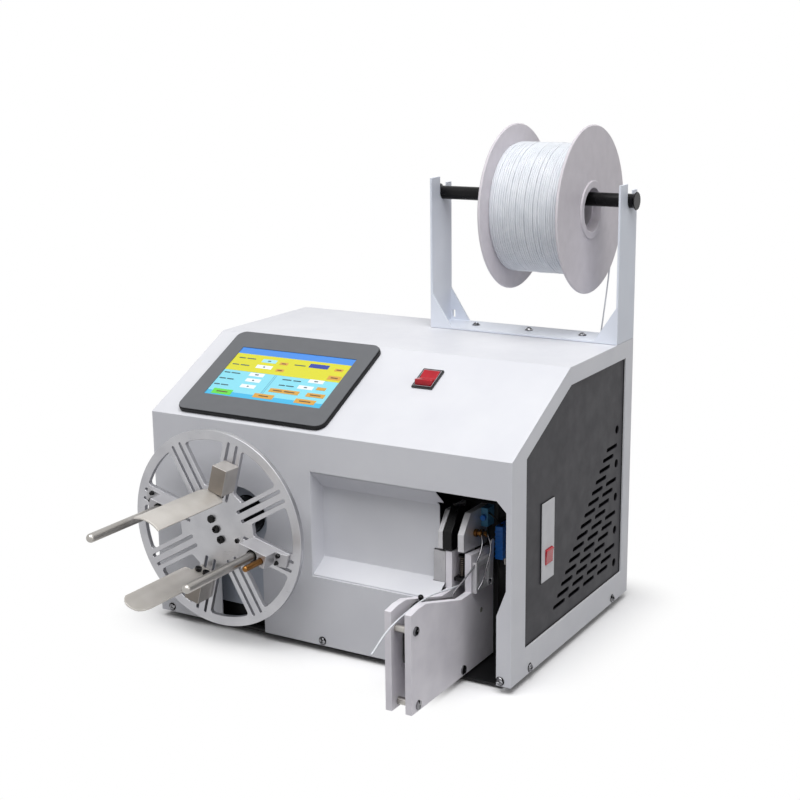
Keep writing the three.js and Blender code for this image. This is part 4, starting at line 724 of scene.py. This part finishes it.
screenValues = {
    "outline": (-198.5, 1.5, 5.5, 152.5), "corner": 12, "filmInset": 1, "filmLow": 5.3, "filmHigh": 6.3,
    "display": (-176, -18, 35, 123), "fieldStep": 0.12, "fieldThickness": 0.3,
    # What the display shows, as plain fields: colour, layer, then middle and size of each
    "fields": [
        ("displayBlue", "#3f86dc", 1, [(-97, 117.5, 158, 11)]),
        ("displayStrip", "#3fb0dc", 1, [(-97, 39, 158, 8)]),
        ("displayYellow", "#d2cf22", 1, [(-97, 96.5, 158, 31)]),
        ("displayDivider", "#5aa2bc", 1, [(-104.2, 62.5, 0.8, 35), (-101.8, 62.5, 0.8, 35)]),
        ("displayWhite", "#e6eef2", 2, [(-127, 92, 22, 6), (-128, 77, 20, 6), (-127, 67, 20, 6),
        (-127.6, 56, 20, 6), (-47, 78, 20, 6), (-54.5, 66, 20, 6)]),
        ("displayPale", "#9fdbe8", 2, [(-126, 103, 20, 6)]),
        ("displayNavy", "#20389c", 2, [(-58, 104, 26, 7)]),
        ("displayOrange", "#cf9a3c", 2, [(-105, 101.5, 11, 4.5), (-30, 101.6, 11, 4.5), (-103.5, 89.4, 11, 4.5),
        (-28.5, 87.5, 17, 7), (-34, 67, 12, 5), (-77, 55, 40, 6.5),
        (-35, 55, 24, 6.5), (-98, 43, 27, 7.5), (-42, 43, 27, 7.5)]),
        ("displayGreen", "#5fcf3a", 2, [(-155, 42, 27, 9)]),
        # Plain dashes in place of words and figures
        ("displayDashes", "#35525a", 3, [
        (-165, 104, 9, 1.4), (-152, 104, 12, 1.4), (-167, 91.5, 9, 1.4), (-154, 91.5, 12, 1.4),
        (-169, 76, 8, 1.4), (-157, 76, 12, 1.4), (-169, 65, 9, 1.4), (-158, 65, 9, 1.4), (-170, 54, 8, 1.4),
        (-159, 54, 10, 1.4), (-85, 75, 12, 1.4), (-71, 75, 10, 1.4), (-86, 65, 8, 1.4), (-75, 65, 10, 1.4),
        (-83, 102, 15, 1.4), (-126, 103, 4, 1.8), (-127, 92, 2.5, 1.8), (-128, 77, 5, 1.8),
        (-127, 67, 2.5, 1.8), (-127.6, 56, 2.5, 1.8), (-47, 78, 5, 1.8), (-54.5, 66, 4, 1.8)]),
        ("displayCaptions", "#5a3d22", 3, [
        (-98, 43, 13, 1.6), (-42, 43, 15, 1.6), (-86, 55, 12, 1.6), (-70, 55, 14, 1.6), (-35, 55, 14, 1.6),
        (-30, 101.6, 6, 1.3), (-105, 101.5, 6, 1.3), (-103.5, 89.4, 6, 1.3), (-28.5, 87.5, 9, 1.6),
        (-155, 42, 15, 1.8)]),
    ],
}


def makeScreen():
    v = screenValues
    dress("touch_screen_housing", blackPlastic, 0.8, 3)
    x0, x1, y0, y1 = v["display"]
    left, right, bottom, top = v["outline"]
    inset = v["filmInset"]
    outline = roundedBox(left + inset, right - inset, bottom + inset, top - inset, v["corner"] - inset)
    shape = sheetShape(outline, [rectangle(x0, x1, y0, y1)], v["filmHigh"] - v["filmLow"])
    finishPiece("screenFilm", shape, slopeFrame @ Matrix.Translation((0, 0, v["filmLow"])), greyFilm,
            bevel=0.3, node="touch_screen_glass")
    # The lit ground, and on it plain coloured fields, each layer a little above the one below
    fields = [("displayGround", "#83d3e4", 0, [((x0 + x1) / 2, (y0 + y1) / 2, x1 - x0, y1 - y0)])] + v["fields"]
    for name, code, layer, places in fields:
        shape = bmesh.new()
        for x, y, width, height in places:
            addBox(shape, (x, y, v["filmLow"] + layer * v["fieldStep"]), (width, height, v["fieldThickness"]))
        finishPiece(name, shape, slopeFrame, displayPixels(name + "Pixels", code))


switchValues = {"proud": 1.6, "rockerProudShare": 0.45, "frameMargin": 0.9, "frameHeight": 0.8,
        "lipInset": 1.9, "lipWidth": 0.7, "lipHeight": 0.35, "bezel": 2.5}


def makeSwitches():
    dress("start_switch_body", glossBlack, 0.9, 3)
    dress("start_rocker", deepRedPlastic, 0.7, 3, "start_rocker")
    v = switchValues
    # A thin raised lip round the rocker's well, laid on the bezel in the slope's own frame. Its light grey is a
    # painted highlight on the bezel's inner edge
    body = nodes["start_switch_body"]
    corners = [slopeFrame.inverted() @ (body.matrix_world @ vert.co) for vert in body.data.vertices]
    left, right = min(c.x for c in corners), max(c.x for c in corners)
    near, far = min(c.y for c in corners), max(c.y for c in corners)
    rings = [rectangle(left + inset, right - inset, near + inset, far - inset)
            for inset in (v["lipInset"], v["lipInset"] + v["lipWidth"])]
    finishPiece("startSwitchHighlightLip", sheetShape(rings[0], [rings[1]], v["lipHeight"]),
            slopeFrame @ Matrix.Translation((0, 0, v["bezel"])), lipHighlightPlastic, bevel=0.1)
    panel = boxOf("side_panel_right")[1].x
    for node, body, material, bevel, share in (
            ("breaker_body", "machine", whitePlastic, 0.4, 0),
            ("breaker_rocker", "breaker_rocker", redPlastic, 0.3, v["rockerProudShare"])):
        # What stands out past the plate's real face is drawn back to it
        shape = copied(node)
        for vert in shape.verts:
            past = vert.co.x - panel - v["proud"]
            if past > 0:
                vert.co.x -= past * (1 - share)
        finishPiece(node + "Finished", shape, machineFrame, material, body, bevel, 3, node=node)
    low, high = boxOf("breaker_body")
    outer, inner = (rectangle(low.y - margin, high.y + margin, low.z - margin, high.z + margin)
            for margin in (v["frameMargin"], -v["frameMargin"]))
    finishPiece("breakerFrame", sheetShape(outer, [inner], v["frameHeight"]), at(panel) @ upright,
            blackPlastic, bevel=0.2)


# Tying head

headValues = {
    "plateScrew": (5.0, 2.4), "plateScrews": [(-96, 87), (-92, 7), (4, 7)],
    "nozzles": {"front": (45, 146), "rear": (58, 142)}, "nozzleLeft": 165,
    # A collar, a waist and a ring with an open mouth, as radius and height
    "nozzleProfile": [(1.5, 9), (1.9, 9), (3.7, 8.4), (3.7, 6.6), (2.4, 5.8), (2.4, 3.4), (4.2, 2.8), (4.2, 0.3),
        (4.0, 0), (0, 0), (0, 5), (1.5, 5), (1.5, 9)],
    "tubeRadius": 0.9,
    "tubes": {
        "wireGuideFront": [(173, 45, 146), (177, 38, 136), (176, 26, 120), (169, 15, 105), (163, 7, 95),
        (160.5, 2, 89)],
        "wireGuideRear": [(173, 58, 142), (179.5, 53, 131), (181, 41, 112), (180.5, 31, 97), (179, 25, 91)],
        "airTube": [(173.3, 60, 165), (179, 57, 164), (184, 60, 158), (184, 68, 151), (183, 76, 148)],
    },
    "lever": {"x": 178.3, "thickness": 1.4, "low": (52, 92), "high": (58, 134), "lowRadius": 5, "highRadius": 3.5,
        "pivot": (3.4, 1.8)},
    "knob": {"place": (169.3, 58, 160), "radius": 3.2, "length": 4, "points": 36, "toothShare": 0.08},
    "plunger": {"x": 183, "y": 81, "radius": 2.6, "edge": 0.5, "low": 102, "high": 112},
    "coilBands": [115, 120.5, 126, 131.5, 137, 142.5], "bandHeight": 2.2, "bandMargin": 0.8,
}


def makeTyingHead():
    for node, material, bevel, segments in (
            ("guide_plate_left", guideAluminium, 0.6, 3), ("cheek_left", blastedAluminium, 0.6, 2),
            ("guide_plate_right", guideAluminium, 0.6, 3), ("cheek_right", blastedAluminium, 0.6, 2),
            ("spacer_upper", stainless, 0.3, 2), ("spacer_lower", stainless, 0.3, 2),
            ("spacer_rear", stainless, 0.3, 2), ("hook_arm", blackSteel, 0.8, 3),
            ("hook_pin", stainless, 0.3, 2), ("clamp_jaw", blackSteel, 0.8, 3), ("jaw_pin", stainless, 0.3, 2),
            ("side_block", drawnAluminium, 0.5, 2), ("side_frame", blastedAluminium, 0.5, 2),
            ("tying_head_body", blackCoat, 0.8, 2), ("air_block", lightBluePlastic, 0.5, 2),
            ("solenoid", bluePlastic, 0.6, 2), ("spring_post", blackSteel, 0.3, 2)):
        dress(node, material, bevel, segments, node if node in ("hook_arm", "clamp_jaw") else "machine")
    v = headValues
    face = boxOf("guide_plate_right")[1].x
    places = [at(face, y, z) @ alongX for y, z in v["plateScrews"]]
    placeCopies("guidePlateScrews", slottedScrew(*v["plateScrew"]), places, screwSteel)
    for name, (y, z) in v["nozzles"].items():
        finishPiece("nozzle" + name.capitalize(), spun(v["nozzleProfile"], 28),
                at(v["nozzleLeft"], y, z) @ alongX, turnedBrass, node="nozzle_" + name)
    for name, points in v["tubes"].items():
        tubePiece(name, points, v["tubeRadius"], blackPlastic if name == "airTube" else screwSteel)
    # A flat lever outside the side frame, its pivot at the lower end
    p = v["lever"]
    low, high = Vector(p["low"]), Vector(p["high"])
    lean = math.degrees(math.atan2(high.y - low.y, high.x - low.x))
    outline = (arcPoints(low.x, low.y, p["lowRadius"], lean + 90, lean + 270, 12)
            + arcPoints(high.x, high.y, p["highRadius"], lean - 90, lean + 90, 12))
    finishPiece("feedLever", sheetShape(outline, [], p["thickness"]), at(p["x"]) @ upright, blastedAluminium,
            bevel=0.3)
    pivot = at(p["x"] + p["thickness"], low.x, low.y) @ alongX
    placeCopies("leverPivot", slottedScrew(*p["pivot"]), [pivot], screwSteel)
    p = v["knob"]
    ridged = [(x * (1 - p["toothShare"] * (i % 2)), y * (1 - p["toothShare"] * (i % 2)))
            for i, (x, y) in enumerate(circlePoints(0, 0, p["radius"], p["points"]))]
    finishPiece("airKnob", sheetShape(ridged, [], p["length"]), at(*p["place"]) @ alongY, bluePlastic,
            bevel=0.2)
    p = v["plunger"]
    rod = spun([(0, p["low"]), (p["radius"] - p["edge"], p["low"]), (p["radius"], p["low"] + p["edge"]),
            (p["radius"], p["high"]), (0, p["high"])], 28)
    finishPiece("solenoidPlunger", rod, at(p["x"], p["y"]), stainless)
    low, high = boxOf("solenoid")
    margin = v["bandMargin"]
    shape = bmesh.new()
    for z in v["coilBands"]:
        addBox(shape, ((low.x + high.x) / 2, (low.y + high.y) / 2, z),
               (high.x - low.x + margin, high.y - low.y + margin, v["bandHeight"]))
    finishPiece("solenoidRibs", shape, machineFrame, bluePlastic, bevel=0.4)


springValues = {"radius": 2.9, "wire": 1.0, "turns": 9, "stepsPerTurn": 24, "sides": 8}


def makeSpring():
    v = springValues
    low, high = boxOf("return_spring")
    middle = (low + high) / 2
    rise = high.z - low.z - v["wire"]
    count = v["turns"] * v["stepsPerTurn"]
    path = []
    for i in range(count + 1):
        angle = math.tau * i / v["stepsPerTurn"]
        path.append(Vector((middle.x + v["radius"] * math.cos(angle), middle.y + v["radius"] * math.sin(angle),
                low.z + v["wire"] / 2 + rise * i / count)))
    shape = sweptWire(path, v["wire"] / 2, v["sides"], Vector((middle.x, middle.y, 0)), Vector((0, 0, 1)))
    finishPiece("returnSpring", shape, machineFrame, springSteel, smoothAngle=80, node="return_spring")


def makeMotorSide():
    keepFlat(dress("motor_plate", zincPlated))
    dress("motor_bracket", blackCoat)
    dress("bearing_housing", blackSteel)
    dress("winding_motor", blackSteel)


# Spool and its stand

spoolValues = {
    "flangeRadius": 96.5, "flange": 3, "rimRound": 1.2, "bossRadius": 33.5, "bossHeight": 1.5,
    "bossEdge": 0.8, "mouthRadius": 25, "mouthDepth": 9, "mouthEdge": 0.5, "bore": 20.8, "barrelRadius": 38,
    "halfWidth": 49.25, "packGap": 0.3, "coreGap": 0.9, "windingRadius": 76, "wire": 2.75, "turns": 33,
    "stepsPerTurn": 72, "sides": 10,
    # How far a turn strays along and below its place, and how quickly that changes from turn to turn
    "aside": 0.9, "asideRate": 0.9, "asideSeed": (0.4, 3.1), "drop": 1.5, "dropRate": 0.8,
    "dropSeed": (5.2, 7.7), "waver": 0.5, "waverRate": 0.2,
}
rodValues = {"radius": 8, "capRadius": 10.5, "left": -16, "right": 238, "standLeft": -13.3, "standRight": 231.3,
        "cap": 3.5, "edge": 0.6, "rightEdge": 0.8}


def makeSpool():
    v = spoolValues
    half, rim = v["halfWidth"], v["flangeRadius"]
    inner, outer = half - v["flange"], half + v["bossHeight"]
    rimRound, edge, mouthEdge = v["rimRound"], v["bossEdge"], v["mouthEdge"]
    side = [
        (v["bore"], half - v["mouthDepth"]), (v["mouthRadius"], half - v["mouthDepth"]),
        (v["mouthRadius"], outer - mouthEdge), (v["mouthRadius"] + mouthEdge, outer),
        (v["bossRadius"] - edge, outer), (v["bossRadius"], outer - edge),
        (v["bossRadius"], half), (rim - rimRound, half), (rim, half - rimRound), (rim, inner + rimRound),
        (rim - rimRound, inner), (v["barrelRadius"], inner),
    ]
    mirrored = [(r, -h) for r, h in reversed(side)]
    finishPiece("spoolBody", spun(side + mirrored + [side[0]], 96), spoolFrame @ alongX, spoolPlastic,
            "spool", smoothAngle=40, node="spool")
    radius = v["windingRadius"] - v["wire"] / 2
    packEnd = inner - v["packGap"]
    pack = ringProfile(v["barrelRadius"] + v["packGap"], radius - v["coreGap"], -packEnd, packEnd)
    finishPiece("wirePack", spun(pack, 96), spoolFrame @ alongX, wireCoat, "spool", node="wire_pack")
    # The outer layer: one wire, its turns close but not even, each a little lower or aside
    span = 2 * packEnd - v["wire"]
    count = v["turns"] * v["stepsPerTurn"]
    path = []
    for i in range(count + 1):
        angle = -math.tau * i / v["stepsPerTurn"]
        turn = i / v["stepsPerTurn"]
        aside = noise.noise(Vector((turn * v["asideRate"], *v["asideSeed"]))) * v["aside"]
        drop = abs(noise.noise(Vector((turn * v["dropRate"], *v["dropSeed"])))) * v["drop"]
        drop += abs(noise.noise(Vector((turn * v["waverRate"], math.sin(angle), math.cos(angle))))) * v["waver"]
        x = -span / 2 + span * i / count + aside * math.sin(math.pi * i / count)
        r = radius - drop
        path.append(Vector((x, r * math.cos(angle), r * math.sin(angle))))
    shape = sweptWire(path, v["wire"] / 2, v["sides"], Vector((0, 0, 0)), Vector((1, 0, 0)))
    finishPiece("wireWinding", shape, spoolFrame, wireCoat, "spool", smoothAngle=80, node="wire_winding")


def makeStand():
    dress("spool_stand", standCoat)
    v = rodValues
    r, cap, edge = v["radius"], v["capRadius"], v["edge"]
    profile = [(0, v["left"]), (cap - edge, v["left"]), (cap, v["left"] + edge), (r, v["standLeft"]),
            (r, v["standRight"]), (r, v["right"] - v["cap"]), (cap, v["right"] - v["rightEdge"]),
            (cap - edge, v["right"]), (0, v["right"])]
    axis = middleOf("spool_rod")
    finishPiece("spoolRod", spun(profile, 40), at(0, axis.y, axis.z) @ alongX, blackSteel, "spool_rod",
            node="spool_rod")


# The white wires, on the same route points as their solids

wireValues = {
    "diameter": 1.8,
    "tie_wire": [(157.2, 74, 88), (157.2, 60, 88.2), (157.6, 35, 91), (158.6, -1, 96.5), (158.6, -41, 103),
        (158.4, -94, 101.2), (157.8, -127, 94.7), (157.2, -155, 81.5)],
    "feed_wire": [(178.1, 377.3, 462), (178.1, 377.3, 446), (178.4, 374, 415), (178.8, 366, 380),
        (178.6, 352, 330), (178.2, 340, 290), (178, 334, 268), (178, 327, 258.4), (178, 322, 257),
        (178, 318.4, 257)],
}


def makeWire(node):
    points = wireValues[node]
    piece = tubePiece(node + "Line", points, wireValues["diameter"] / 2, wireCoat, 12, node)
    bpy.context.view_layer.update()
    knots = piece.data.splines[0].bezier_points
    for a, b in zip(knots, knots[1:]):
        run = geometry.interpolate_bezier(a.co, a.handle_right, b.handle_left, b.co, 13)


# Floor, world and lamps, in metres

studioValues = {
    "floorSize": 8.0, "floorDrop": 0.0005, "world": 0.22, "floorSeen": "#fbfbfc", "floorBounce": "#8e8e90",
    # The machine's footprint in the frame, and how far outside it the shadow fades
    "footMiddle": (-0.004, 0.0532, 0.0), "footHalf": (0.222, 0.15, 0.0), "shadowReach": 0.0, "whiteFrom": 0.085,
    "lampMiddle": (0, 0.1, 0.2),
    "lamps": [  # name, place from lampMiddle, size, watts
        ("topLamp", (0.35, -0.88, 2.25), 2.4, 65),
        ("rightLamp", (2.0, -0.5, 1.0), 1.4, 7),
    ],
}


def makeFloor():
    v = studioValues
    shape = bmesh.new()
    bmesh.ops.create_grid(shape, x_segments=1, y_segments=1, size=v["floorSize"] / 2)
    floor = linked(bpy.data.objects.new("floor", meshOf(shape, "floor")))
    floor.location.z = -v["floorDrop"]
    # Pale paper that keeps the shadow near the machine and is plain white further off; light that
    # bounces off it is held back, so that upright faces stay darker than those that face up
    material, tree, shader = newMaterial("palePaper")
    path = addNode(tree, "ShaderNodeLightPath").outputs
    seen = addNode(tree, "ShaderNodeMath", {0: path["Is Camera Ray"], 1: path["Is Glossy Ray"]},
            operation="MAXIMUM").outputs[0]
    color = addNode(tree, "ShaderNodeMix", {"Factor": seen, 6: hexColor(v["floorBounce"]),
            7: hexColor(v["floorSeen"])}, data_type="RGBA").outputs[2]
    setInputs(tree, shader, {"Base Color": color, "Roughness": 0.9})
    offset = addNode(tree, "ShaderNodeTexCoord").outputs["Object"]
    for operation, second in (("SUBTRACT", v["footMiddle"]), ("ABSOLUTE", (0, 0, 0)),
            ("SUBTRACT", v["footHalf"]), ("MAXIMUM", (0, 0, 0))):
        offset = addNode(tree, "ShaderNodeVectorMath", {0: offset, 1: second}, operation=operation).outputs[0]
    distance = addNode(tree, "ShaderNodeVectorMath", {0: offset}, operation="LENGTH").outputs["Value"]
    far = addNode(tree, "ShaderNodeMapRange", {"Value": distance, "From Min": v["shadowReach"],
            "From Max": v["whiteFrom"]}, interpolation_type="SMOOTHSTEP")
    amount = addNode(tree, "ShaderNodeMath", {0: far.outputs[0], 1: seen}, operation="MULTIPLY").outputs[0]
    white = addNode(tree, "ShaderNodeEmission", {"Color": (1, 1, 1, 1), "Strength": 1.0}).outputs[0]
    mix = addNode(tree, "ShaderNodeMixShader", {0: amount, 1: shader.outputs[0], 2: white}).outputs[0]
    setInputs(tree, tree.nodes["Material Output"], {"Surface": mix})
    floor.data.materials.append(material)


def makeLights():
    v = studioValues
    world = bpy.data.worlds.new("studio")
    bpy.context.scene.world = world
    world.use_nodes = True
    tree = world.node_tree
    tree.nodes.clear()
    # The camera and mirrors see white, everything else is lit by the dimmer world
    path = addNode(tree, "ShaderNodeLightPath").outputs
    seen = path["Is Camera Ray"]
    for kind in ("Is Transmission Ray", "Is Glossy Ray"):
        seen = addNode(tree, "ShaderNodeMath", {0: seen, 1: path[kind]}, operation="MAXIMUM").outputs[0]
    strength = addNode(tree, "ShaderNodeMapRange", {"Value": seen, "To Min": v["world"], "To Max": 1.0})
    light = addNode(tree, "ShaderNodeBackground", {"Color": (1, 1, 1, 1), "Strength": strength.outputs[0]})
    addNode(tree, "ShaderNodeOutputWorld", {"Surface": light.outputs[0]})
    for name, place, size, watts in v["lamps"]:
        data = bpy.data.lights.new(name, "AREA")
        data.shape = "DISK"
        data.size = size
        data.energy = watts
        lamp = linked(bpy.data.objects.new(name, data))
        lamp.location = coverOrigin + Vector(v["lampMiddle"]) + Vector(place)
        lamp.rotation_mode = "QUATERNION"
        lamp.rotation_quaternion = Vector(place).to_track_quat("Z", "Y")
    bpy.context.scene.view_settings.view_transform = "Standard"


makeWire("tie_wire")
makeWire("feed_wire")
print("wires laid")
makeHousing()
makeSidePanels()
print("housing finished")
makeDisc()
makeCarriers()
makeMotorSide()
print("wheel finished")
makeScreen()
makeSwitches()
makeTyingHead()
makeSpring()
print("tying head finished")
makeSpool()
makeStand()
print("spool wound")
makeFloor()
makeLights()
